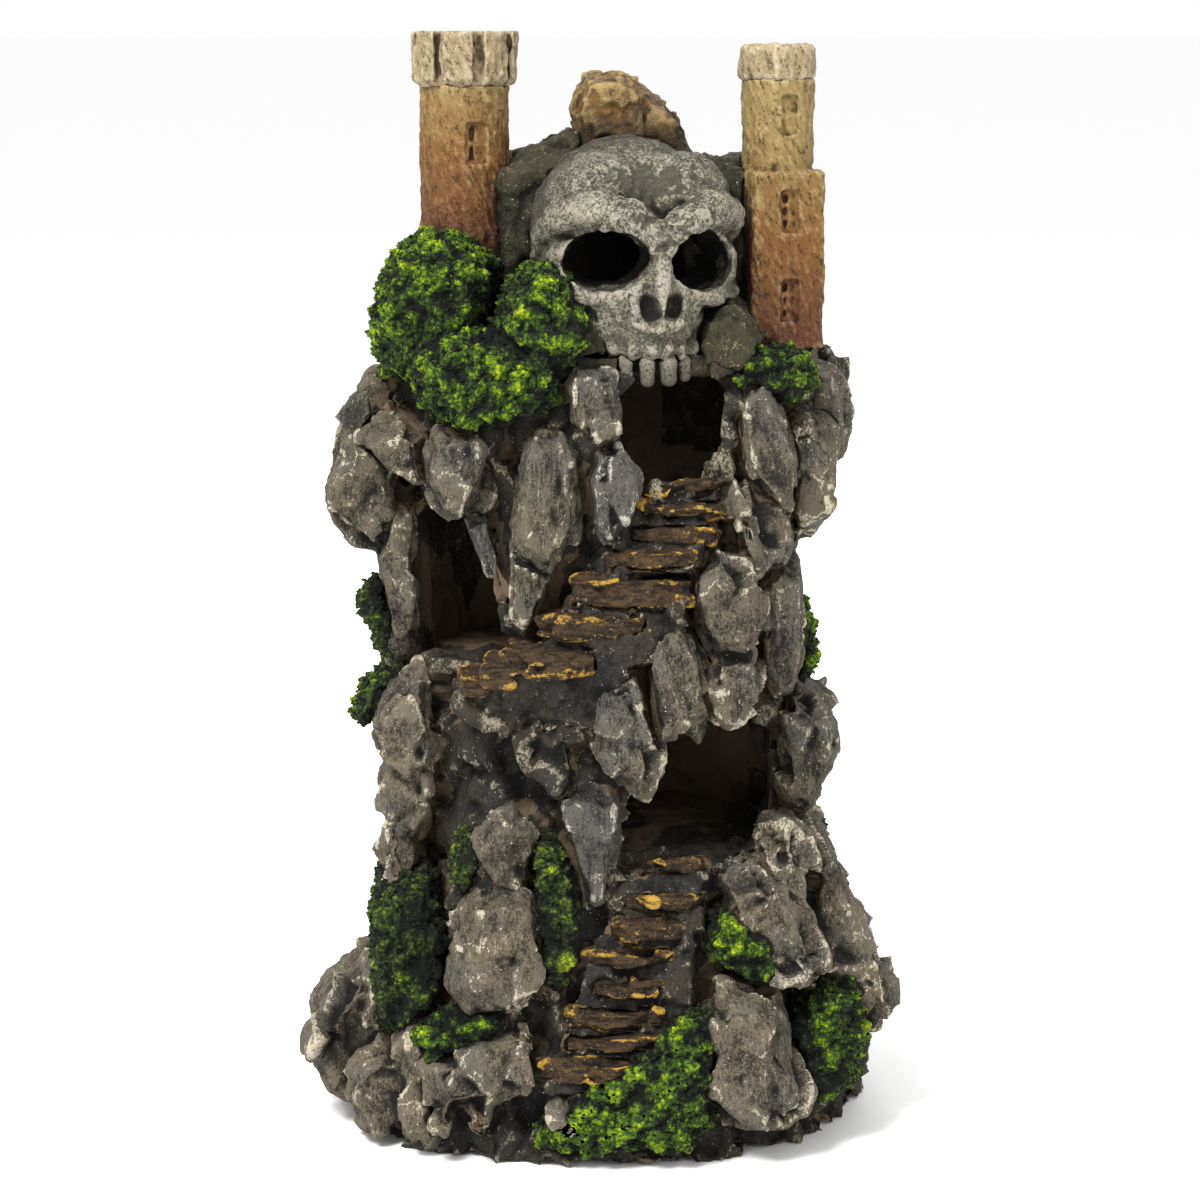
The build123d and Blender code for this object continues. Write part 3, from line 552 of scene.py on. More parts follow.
class Stone(Enum):
    """The kinds of rock that the crags are sculpted as."""

    BOULDER = Relief(
        voxel=0.48,
        rounds=12,
        chips=(Chips(9.0, 0.34, 0.35), Chips(3.8, 0.26, 0.16), Chips(1.4, 0.18, 0.08)),
        swell=0.3,
        bedding=(20, 15, 0),
        stretch=1.5,
    )
    SHARD = Relief(
        voxel=0.42,
        rounds=1,
        chips=(Chips(5.0, 0.3, 0.45), Chips(2.0, 0.22, 0.2), Chips(1.0, 0.16, 0.08)),
        swell=0.2,
        bedding=(8, 12, 0),
        stretch=3.2,
    )
    COLUMN = Relief(
        voxel=0.42,
        rounds=1,
        chips=(Chips(3.6, 0.28, 0.35), Chips(1.7, 0.3, 0.2)),
        swell=0.3,
        bedding=(0, 4, 0),
        stretch=4.0,
    )
    WALL = Relief(
        voxel=0.79,
        rounds=1,
        chips=(Chips(10.0, 0.4, 0.8), Chips(4.4, 0.36, 0.4), Chips(2.0, 0.28, 0.16)),
        swell=0.4,
        bedding=(10, 10, 0),
        stretch=1.4,
        inner=0.3,
    )
    REAR = Relief(
        voxel=0.64,
        rounds=16,
        chips=(Chips(9.0, 0.4, 0.7), Chips(3.8, 0.3, 0.3)),
        swell=0.2,
        bedding=(20, 15, 0),
        stretch=1.5,
    )
    MELLOW = Relief(
        voxel=0.56,
        rounds=16,
        chips=(Chips(6.0, 0.24, 0.4), Chips(2.2, 0.24, 0.2)),
        swell=0.6,
        swell_size=9.0,
        grit=0.24,
    )
    BED = Relief(
        voxel=0.5,
        rounds=1,
        chips=(Chips(6.0, 0.26, 0.35), Chips(2.6, 0.3, 0.2)),
        swell=0.3,
        stretch=1.2,
    )


# ---------------------------------------------------------------- wear and where shade falls, read by every finish for its painted shade
@dataclass(frozen=True)
class WearAndShade:
    """Finds where paint rubs off, and where light doesn't reach, which the finishes paint in as a dark wash
    and as painted shade.

    It stores four numbers at every point: edge is positive on ridges and negative in grooves, broad is the
    same over a wider stretch, shade is how deep in a crevice the point lies, and gloom how far inside a cave.

    Attributes:
        everything: All pieces as one object, which hides its own crevices.
        rays: How many directions are tried.
        crevice: How near other stone has to be to shade a point, and cave how near to make it gloomy.
        lift: How far over the skin the tries start.
        edge_reach: How far the edge average reaches, and broad_reach the broad one.
        full: How proud of its average a point is at 1, as a share of the reach.
    """

    everything: bpy.types.Object
    rays: int = 16
    crevice: float = 10.0
    cave: float = 60.0
    lift: float = 0.45
    edge_reach: float = 1.0
    broad_reach: float = 2.8
    full: float = 0.16

    def buried(self, graph: Graph) -> tuple[Value, Value]:
        """How much stone lies around each point.

        Args:
            graph: The geometry graph.

        Returns:
            The shade and the gloom, each from 0 in the open to 1.
        """
        target = graph.out("GeometryNodeObjectInfo", None, {"Object": self.everything}, "Geometry")
        normal = graph.out("GeometryNodeInputNormal")
        place = graph.out("GeometryNodeInputPosition")
        start = graph.vector("ADD", place, graph.scaled(normal, self.lift * MM))
        near_stone: Value | float = 0.0
        any_stone: Value | float = 0.0
        seen: Value | float = 0.0001
        for step in range(self.rays):
            rise = 1 - 2 * (step + 0.5) / self.rays
            turn = step * math.radians(137.5)
            flat = math.sqrt(1 - rise * rise)
            direction = (flat * math.cos(turn), flat * math.sin(turn), rise)
            ray = graph.node(
                "GeometryNodeRaycast",
                {"data_type": "FLOAT"},
                {
                    "Target Geometry": target,
                    "Source Position": start,
                    "Ray Direction": direction,
                    "Ray Length": self.cave * MM,
                },
            )
            weight = graph.dot(normal, direction).most(0.0)
            hit = weight * Value(graph, ray.outputs["Is Hit"])
            near = (1.0 - Value(graph, ray.outputs["Hit Distance"]) / (self.crevice * MM)).most(0.0)
            near_stone = near_stone + hit * near
            any_stone = any_stone + hit
            seen = seen + weight
        return near_stone / seen, any_stone / seen

    def mark(self, piece: bpy.types.Object, voxel: float) -> None:
        """Stores the four numbers on a finished shape.

        Args:
            piece: The shape.
            voxel: The size of its skin's faces, which sets how far the averages reach.
        """
        graph, geometry = geometry_graph("wear_and_shade")
        place = millimetres(graph)
        normal = graph.out("GeometryNodeInputNormal")
        for name, reach in (("edge", self.edge_reach), ("broad", self.broad_reach)):
            inputs = {"Value": place, "Iterations": max(2, round((reach / voxel) ** 2))}
            average = graph.out("GeometryNodeBlurAttribute", {"data_type": "FLOAT_VECTOR"}, inputs)
            proud = graph.dot(graph.vector("SUBTRACT", place, average), normal)
            geometry = stored(graph, geometry, name, proud / (self.full * reach))
        # The shade and gloom found here are painted into the finishes' colours as painted shade.
        shade, gloom = self.buried(graph)
        geometry = stored(graph, stored(graph, geometry, "shade", shade), "gloom", gloom)
        run_graph(piece, graph, geometry)


# ---------------------------------------------------------------- finishes
@dataclass(frozen=True)
class Finish:
    """What every painted finish shares.

    Attributes:
        name: The material's name.
        roughness: How matt it is.
        shine: How strongly it reflects, 0.5 being plain plastic.
        grain: How long its finest grain is, and grain_depth how deep.
        lump: The same for its small lumps, with lump_depth.
    """

    name: str
    roughness: float = 0.8
    shine: float = 0.25
    grain: float = 0.55
    grain_depth: float = 0.3
    lump: float = 1.7
    lump_depth: float = 0.7

    def colour(self, graph: Graph, place: bpy.types.NodeSocket) -> bpy.types.NodeSocket:
        """The paint's colour over the surface. Each finish has its own."""
        raise NotImplementedError

    def attributes(self, graph: Graph, *names: str) -> tuple[Value, ...]:
        """Numbers that the wear and shade marking or carving stored, by name."""
        return tuple(
            graph.value("ShaderNodeAttribute", {"attribute_name": name}, None, "Fac") for name in names
        )

    def speckled(
        self, graph: Graph, place: bpy.types.NodeSocket, base: object, colour: Colour
    ) -> bpy.types.NodeSocket:
        """Adds fine ragged specks.

        Args:
            graph: The shader graph.
            place: The position in millimetres.
            base: The colour under the specks.
            colour: The specks' colour.

        Returns:
            The speckled colour's socket.
        """
        specks = graph.cloud(place, 0.42, 1.0, 0.5).rise(0.7, 0.76)
        return graph.blend(base, colour, specks * graph.cloud(place, 3.0, 2.0).rise(0.45, 0.6) * 0.85)

    def material(self) -> bpy.types.Material:
        """Makes the material, or finds it if it is already made.

        Returns:
            The material.
        """
        known = bpy.data.materials.get(self.name)
        if known:
            return known
        made = bpy.data.materials.new(self.name)
        made.use_nodes = True
        made.node_tree.nodes.clear()
        graph = Graph(made.node_tree)
        place = graph.scaled(graph.out("ShaderNodeTexCoord", None, None, "Object"), 1 / MM)
        grain = graph.cloud(place, self.grain, 4.0, 0.75)
        height = grain * self.grain_depth + graph.cloud(place, self.lump, 4.0, 0.7) * self.lump_depth
        bump = graph.out("ShaderNodeBump", None, {"Strength": 1.0, "Distance": MM, "Height": height})
        shader = graph.out(
            "ShaderNodeBsdfPrincipled",
            None,
            {
                "Base Color": self.colour(graph, place),
                "Roughness": (grain - 0.5) * 0.4 + self.roughness,
                "Specular IOR Level": self.shine,
                "Normal": bump,
            },
        )
        graph.node("ShaderNodeOutputMaterial", None, {"Surface": shader})
        return made

    def dress(self, piece: bpy.types.Object) -> None:
        """Gives a piece this finish and no other."""
        piece.data.materials.clear()
        piece.data.materials.append(self.material())


@dataclass(frozen=True)
class RockPaint(Finish):
    """Dark stone with dry-brushed edges, a black wash in its crevices that is also painted shade, painted
    shade inside the caves, and fine pale specks.

    Attributes:
        low: The colour of its darker patches.
        mid: The colour of its lighter patches, and cool of the greyer ones.
        brushed: The colour dragged over its edges.
        wash_and_shade: The colour in its crevices, a dark wash and painted shade, and cave the colour painted
            inside the caves as painted shade.
        brush: How much of the surface the brush catches, and streak how short its marks are along the rock.
        dust: The colour of old moss dusted over it, and dusting how much of it.
    """

    low: Colour = paint("1b1815")
    mid: Colour = paint("585042")
    cool: Colour = paint("504e48")
    brushed: Colour = paint("aca48f")
    wash_and_shade: Colour = paint("0d0c0b")
    # Painted shade: the colour that stands in for the shade inside the caves.
    cave: Colour = paint("635341")
    brush: float = 0.5
    streak: float = 0.45
    dust: Colour = paint("2f3018")
    dusting: float = 0.0

    def colour(self, graph: Graph, place: bpy.types.NodeSocket) -> bpy.types.NodeSocket:
        """The stone's colour over its surface."""
        edge, broad, shade, gloom = self.attributes(graph, "edge", "broad", "shade", "gloom")
        ridge = edge.rise(0.8, 2.6)
        patches = graph.cloud(place, 9.0, 3.0, 0.6)
        hue = graph.cloud(graph.vector("ADD", place, (31.0, 7.0, 19.0)), 13.0, 3.0, 0.6)
        grain = graph.cloud(place, 0.4, 3.0, 0.85)
        mottle = graph.cloud(graph.vector("MULTIPLY", place, (1.0, 1.0, 0.6)), 1.8, 4.0, 0.75)
        scratch = graph.cloud(graph.vector("MULTIPLY", place, (1.0, 1.0, self.streak)), 0.55, 4.0, 0.8)
        tone = patches * 0.6 + mottle * 0.4 + (grain - 0.5) * 0.7 + (scratch - 0.5) * 0.7 + broad * 0.04
        light = graph.blend(self.mid, self.cool, hue.rise(0.46, 0.62) * 0.7)
        stone = graph.blend(self.low, light, tone.rise(0.36, 0.6))
        broken = graph.cells(graph.shaken(place, 2.5, 4.0, 3.0), 6.0, "DISTANCE_TO_EDGE")
        seam = Value(graph, broken.outputs["Distance"]).rise(0.06, 0.0) * (patches - 0.42).most(0.0) * 5.0
        caught = ridge * 1.2 + seam + (mottle - 0.5) * 1.6 + (scratch - 0.5) * 4.4 + (grain - 0.5) * 3.6
        caught = caught + (patches - 0.5) * 1.4 + (self.brush - 1.2)
        stone = graph.blend(stone, self.brushed, caught.rise(0.0, 1.0) * 0.95)
        # Painted shade: crevices where the rays find stone near are darkened towards the wash, which is
        # partly a real dark wash.
        shade_and_wash = shade * 2.1 - edge * 0.15 - broad * 0.2 + (mottle - 0.5) * 0.7
        stone = graph.blend(stone, self.wash_and_shade, shade_and_wash.rise(0.2, 1.0) * 0.94)
        if self.dusting:
            dusted = graph.cloud(place, 4.0, 4.0, 0.7) - 0.5 + (grain - 0.5) * 0.8
            stone = graph.blend(stone, self.dust, dusted.rise(0.12 - self.dusting, 0.3) * 0.6)
        stone = self.speckled(graph, place, stone, paint("b9b3a2"))
        # Painted shade: the insides of the caves, where gloom is high, get the flat cave colour.
        return graph.blend(stone, self.cave, gloom.rise(0.72, 0.97) * 0.9)


class Paint(Enum):
    """The rocks' finishes."""

    CRAG = RockPaint(name="crag_paint")
    SHARD = RockPaint(
        name="shard_paint", low=paint("1b1a18"), mid=paint("4b4842"), brushed=paint("a5a195"), streak=0.12
    )
    BLADE = RockPaint(name="blade_paint", streak=0.12, brush=0.45)
    BASE = RockPaint(name="base_paint", low=paint("25201a"), mid=paint("605748"), brushed=paint("b2a892"))
    WALL = RockPaint(
        name="wall_paint",
        low=paint("0e0d0c"),
        mid=paint("2f2a21"),
        cool=paint("2a2a28"),
        brushed=paint("857c69"),
        brush=0.3,
    )
    REAR = RockPaint(name="rear_crag_paint", cave=paint("120f0c"))
    DUSTED = RockPaint(
        name="dusted_crag_paint",
        low=paint("14120d"),
        mid=paint("342e20"),
        cool=paint("2e2c22"),
        brushed=paint("796f50"),
        brush=0.4,
        cave=paint("120f0c"),
        dusting=0.25,
    )


@dataclass(frozen=True)
class BonePaint(Finish):
    """Weathered grey bone, pale on its ridges and black in its hollows and sockets, where the black is a dark
    wash and painted shade.

    Attributes:
        low: The colour of its darker grain, mid of its lighter grain and high of its ridges.
        wash_and_shade: The colour in its hollows, a dark wash and painted shade.
        flaked: The colour where flakes are broken off.
        dust: The colour that it takes away from the middle of the face, and face where that middle is.
    """

    low: Colour = paint("2c2922")
    mid: Colour = paint("757061")
    high: Colour = paint("aaa392")
    wash_and_shade: Colour = paint("0c0a08")
    flaked: Colour = paint("454238")
    dust: Colour = paint("2b281c")
    grain: float = 0.6
    grain_depth: float = 0.75
    face: Triple = (9.0, -27.0, 163.0)

    def colour(self, graph: Graph, place: bpy.types.NodeSocket) -> bpy.types.NodeSocket:
        """The bone's colour over its surface."""
        edge, broad, shade, gloom = self.attributes(graph, "edge", "broad", "shade", "gloom")
        (flake,) = self.attributes(graph, "flake")
        patches = graph.cloud(place, 8.0, 4.0, 0.6)
        grain = graph.cloud(place, 0.55, 4.0, 0.8)
        bone = graph.blend(self.low, self.mid, (patches * 0.4 + grain * 0.9).rise(0.5, 0.8))
        lit = edge * 0.25 + broad * 0.3 + (grain - 0.5) * 4.4 + (patches - 0.5) * 1.4
        bone = graph.blend(bone, self.high, lit.rise(-0.1, 1.1) * 0.9)
        bone = graph.blend(bone, self.flaked, flake * 0.8)
        # Painted shade: hollows where the rays find bone or rock near are darkened towards the wash.
        shade_and_wash = shade * 1.9 - broad * 0.25 - edge * 0.15 + (grain - 0.5) * 0.8
        bone = graph.blend(bone, self.wash_and_shade, shade_and_wash.rise(0.35, 1.05) * 0.95)
        away = graph.value("ShaderNodeVectorMath", {"operation": "DISTANCE"}, {0: place, 1: self.face})
        dusted = away + (patches - 0.5) * 16.0 + (grain - 0.5) * 8.0
        bone = graph.blend(bone, self.dust, dusted.rise(16.0, 26.0) * 0.8)
        bone = self.speckled(graph, place, bone, paint("1f1b15"))
        # Painted shade: the eye sockets and other enclosed hollows, where gloom is high, are painted black.
        return graph.blend(bone, self.wash_and_shade, gloom.rise(0.55, 0.85))


@dataclass(frozen=True)
class TowerPaint(Finish):
    """Stone painted in bands that fade into each other up a tower, over dark pits, with painted shade in its
    crevices.

    Attributes:
        low_z: Where the foot's colour starts to fade, and high_z where the head's colour is full.
        foot: The colour at low_z, middle the colour half way, and head the colour at high_z.
        pit_and_shade: The colour in the pits and the painted shade in crevices, and light the colour rubbed
            over the ridges.
    """

    low_z: float = 160.0
    high_z: float = 192.0
    foot: Colour = paint("4f2c1b")
    middle: Colour = paint("68461f")
    head: Colour = paint("7f6c42")
    pit_and_shade: Colour = paint("1c1109")
    light: Colour = paint("a5946a")

    def colour(self, graph: Graph, place: bpy.types.NodeSocket) -> bpy.types.NodeSocket:
        """The tower's colour over its surface."""
        edge, broad, shade = self.attributes(graph, "edge", "broad", "shade")
        cloudy = graph.cloud(place, 6.0, 4.0, 0.65)
        grain = graph.cloud(place, 0.5, 4.0, 0.8)
        slant = {"Vector": place, "Angle": math.radians(28)}
        slanted = graph.out("ShaderNodeVectorRotate", {"rotation_type": "Y_AXIS"}, slant)
        drag = graph.cloud(graph.vector("MULTIPLY", slanted, (1.0, 1.0, 0.35)), 0.9, 3.0, 0.7)
        height = (graph.parts(place)[2] - self.low_z) / (self.high_z - self.low_z) + (cloudy - 0.5) * 0.5
        stone = graph.blend(self.foot, self.middle, height.rise(0.0, 0.55))
        stone = graph.blend(stone, self.head, height.rise(0.45, 1.0))
        rubbed = edge * 0.3 + broad * 0.15 + (drag - 0.5) * 2.4 + (grain - 0.5) * 1.8
        share = (height * 0.5 + 0.3).least(0.8).most(0.2)
        stone = graph.blend(stone, self.light, rubbed.rise(0.0, 1.1) * share)
        pits = (drag + (grain - 0.5) * 0.7).rise(0.44, 0.34)
        stone = graph.blend(stone, self.pit_and_shade, pits * 0.7)
        # Painted shade: crevices where the rays find stone near are darkened towards the pit colour.
        shade_and_wash = shade * 1.5 - edge * 0.3 - broad * 0.2
        return graph.blend(stone, self.pit_and_shade, shade_and_wash.rise(0.3, 1.0) * 0.85)


@dataclass(frozen=True)
class StepPaint(Finish):
    """Dark brown steps with gold rubbed along their edges, and painted shade in their crevices."""

    low: Colour = paint("16100a")
    mid: Colour = paint("40301c")
    gold: Colour = paint("b08a35")

    def colour(self, graph: Graph, place: bpy.types.NodeSocket) -> bpy.types.NodeSocket:
        """The steps' colour over their surface."""
        edge, broad, shade = self.attributes(graph, "edge", "broad", "shade")
        grain = graph.cloud(place, 0.5, 4.0, 0.8)
        layers = graph.cloud(graph.vector("MULTIPLY", place, (0.25, 0.5, 1.0)), 0.8, 3.0, 0.7)
        patches = graph.cloud(place, 5.0, 3.0, 0.6)
        ridge = edge.rise(0.9, 2.6) + broad.rise(0.4, 1.6) * 0.3
        stone = graph.blend(self.low, self.mid, (layers + (grain - 0.5) * 0.8).rise(0.36, 0.62))
        rubbed = ridge * 0.9 + (layers - 0.5) * 2.6 + (grain - 0.5) * 2.2 + (patches - 0.5) * 2.4
        stone = graph.blend(stone, self.gold, (rubbed - 0.62).rise(0.0, 1.0) * 0.85)
        # Painted shade: crevices where the rays find stone near are darkened almost to black.
        stone = graph.blend(stone, paint("080706"), (shade * 1.6 - edge * 0.2).rise(0.35, 1.0) * 0.92)
        return self.speckled(graph, place, stone, paint("a8997a"))


@dataclass(frozen=True)
class MossPaint(Finish):
    """Moss that is almost black underneath, green on its clumps and yellow on their tips, and darkened by
    painted shade in crevices.

    Attributes:
        deep: The colour underneath, then green, bright and tip towards the top of a clump.
        growth: How much of it is fresh, 0.3 being about half.
    """

    deep: Colour = paint("080c06")
    green: Colour = paint("2b4108")
    bright: Colour = paint("62790a")
    tip: Colour = paint("a8ae18")
    growth: float = 0.3
    roughness: float = 0.9
    lump: float = 0.8
    lump_depth: float = 0.4

    def colour(self, graph: Graph, place: bpy.types.NodeSocket) -> bpy.types.NodeSocket:
        """The moss's colour over its surface."""
        crest, shade = self.attributes(graph, "crest", "shade")
        patches = graph.cloud(place, 5.0, 4.0, 0.65)
        crumbs = graph.cells(place, 0.7)
        own = graph.dot(crumbs.outputs["Color"], (1.0, 0.0, 0.0))
        own = own - Value(graph, crumbs.outputs["Distance"]) * 1.4
        curl = graph.cloud(place, 0.8, 3.0, 0.8) - 0.5
        # The shade term is painted shade: moss in crevices is pushed towards the deep colour.
        lit = crest * 0.9 + own * 0.5 + curl * 2.2 + (patches - 0.5) * 2.4 - shade * 1.3 + self.growth
        moss = graph.blend(self.deep, self.green, lit.rise(-0.3, 0.35))
        moss = graph.blend(moss, self.bright, lit.rise(0.35, 0.8))
        return graph.blend(moss, self.tip, lit.rise(0.85, 1.35))


@dataclass(frozen=True)
class SummitPaint(Finish):
    """Tan stone with orange hollows, a dark foot and painted shade in its crevices."""

    low: Colour = paint("3a2b19")
    mid: Colour = paint("655130")
    high: Colour = paint("967f52")
    hollow: Colour = paint("64400f")

    def colour(self, graph: Graph, place: bpy.types.NodeSocket) -> bpy.types.NodeSocket:
        """The peak's colour over its surface."""
        edge, broad, shade = self.attributes(graph, "edge", "broad", "shade")
        patches = graph.cloud(place, 5.0, 4.0, 0.6)
        grain = graph.cloud(place, 0.5, 4.0, 0.8)
        stone = graph.blend(self.low, self.mid, (patches + (grain - 0.5) * 0.8).rise(0.35, 0.6))
        lit = edge * 0.35 + broad * 0.25 + (grain - 0.5) * 2.0
        stone = graph.blend(stone, self.high, lit.rise(0.0, 1.0) * 0.9)
        stone = graph.blend(stone, self.hollow, (patches * 1.5 - 0.55 - broad * 0.5).rise(0.2, 0.5) * 0.75)
        foot = graph.parts(place)[2] + (patches - 0.5) * 14.0
        stone = graph.blend(stone, paint("2a2016"), foot.rise(190.0, 180.0) * 0.85)
        # Painted shade: crevices where the rays find stone near are darkened almost to black.
        return graph.blend(stone, paint("150e08"), (shade * 1.7 - edge * 0.2).rise(0.45, 1.1) * 0.9)


BONE = BonePaint("bone_paint")
STEPS = StepPaint("step_paint")
FRESH_MOSS = MossPaint("fresh_moss_paint")
OLD_MOSS = MossPaint("old_moss_paint", growth=0.15, green=paint("2a380f"), bright=paint("566a10"))
SUMMIT = SummitPaint("summit_paint")
SHAFT = TowerPaint("left_tower_paint", low_z=160.0, high_z=196.0)
BLOCK = TowerPaint("right_tower_paint", low_z=143.0, high_z=186.0)
CAP = TowerPaint(
    "tower_cap_paint",
    low_z=150.0,
    high_z=186.0,
    middle=paint("6b5a36"),
    head=paint("867759"),
    light=paint("b3a68c"),
)


# ---------------------------------------------------------------- sub-assemblies
@dataclass(frozen=True)
class BoneRelief(Relief):
    """Weathered bone: a coarse grain with flakes broken off its forehead.

    Attributes:
        flake_depth: How thick the flakes are.
        flaking: Middle of the flaked area, and flaking_reach its radius.
    """

    flake_depth: float = 0.5
    flaking: Triple = (10.0, -27.0, 172.5)
    flaking_reach: float = 9.0

    def surface(self, graph: Graph, geometry: bpy.types.NodeSocket, seed: int) -> bpy.types.NodeSocket:
        """The weathered skin, with its flaked area stored as the attribute flake."""
        place = millimetres(graph)
        away = graph.value("ShaderNodeVectorMath", {"operation": "DISTANCE"}, {0: place, 1: self.flaking})
        ragged = graph.cloud(place, 4.5, 4.0, 0.65) + (self.flaking_reach - away) * 0.022
        flake = ragged.rise(0.56, 0.585)
        height = averaged(graph, self.height(graph, seed) - flake * self.flake_depth)
        return moved_out(graph, stored(graph, geometry, "flake", flake), height)


@dataclass(frozen=True)
class MossRelief(Relief):
    """Clumps of moss with loose crumbs on them.

    Attributes:
        clump: How far across a clump is, and clump_height how high it stands.
        tuft: The same for the small tufts that a clump is made of, with tuft_height.
        crumb: The largest crumb's radius.
        density: Crumbs per square millimetre.
    """

    clump: float = 3.2
    clump_height: float = 1.5
    tuft: float = 1.1
    tuft_height: float = 0.6
    crumb: float = 0.48
    density: float = 0.9

    def height(self, graph: Graph, seed: int) -> Value:
        """The clumps' height over the surface."""
        where = graph.vector("ADD", millimetres(graph), (seed * 13.7, seed * 31.9, seed * 7.3))
        total = (graph.cloud(where, self.swell_size, 2.0) - 0.5) * (4 * self.swell)
        for size, height in ((self.clump, self.clump_height), (self.tuft, self.tuft_height)):
            cell = graph.cells(graph.shaken(where, size * 0.8, size), size)
            total = total + (0.5 - Value(graph, cell.outputs["Distance"])) * (2 * height)
        return total

    def surface(self, graph: Graph, geometry: bpy.types.NodeSocket, seed: int) -> bpy.types.NodeSocket:
        """The clumps with crumbs on their outer side, and their height as the attribute crest."""
        height = self.height(graph, seed)
        crested = stored(graph, geometry, "crest", height / (self.clump_height + self.tuft_height))
        clumps = moved_out(graph, crested, height)
        normal = graph.out("GeometryNodeInputNormal")
        facing_out = graph.dot(normal, from_axis(graph)) + graph.dot(normal, (0.0, 0.0, 0.7))
        open_side = facing_out.rise(0.05, 0.15)
        scattered = graph.node(
            "GeometryNodeDistributePointsOnFaces",
            {"distribute_method": "RANDOM"},
            {"Mesh": clumps, "Density": open_side * (self.density / MM**2), "Seed": seed},
        )
        blob = graph.out("GeometryNodeMeshIcoSphere", None, {"Radius": self.crumb * MM, "Subdivisions": 1})
        any_turn = {"Max": (math.tau, math.tau, math.tau), "Seed": 3}
        turn = graph.out("FunctionNodeRandomValue", {"data_type": "FLOAT_VECTOR"}, any_turn)
        any_size = {"Min": (0.35, 0.4, 0.6), "Max": (0.75, 0.9, 1.5), "Seed": 8}
        scale = graph.out("FunctionNodeRandomValue", {"data_type": "FLOAT_VECTOR"}, any_size)
        crumbs = graph.out(
            "GeometryNodeInstanceOnPoints",
            None,
            {"Points": scattered.outputs["Points"], "Instance": blob, "Rotation": turn, "Scale": scale},
        )
        crumbs = graph.out("GeometryNodeRealizeInstances", None, {"Geometry": crumbs})
        whole = graph.node("GeometryNodeJoinGeometry")
        graph.tree.links.new(crumbs, whole.inputs[0])
        graph.tree.links.new(clumps, whole.inputs[0])
        return kept_in_box(graph, whole.outputs[0])


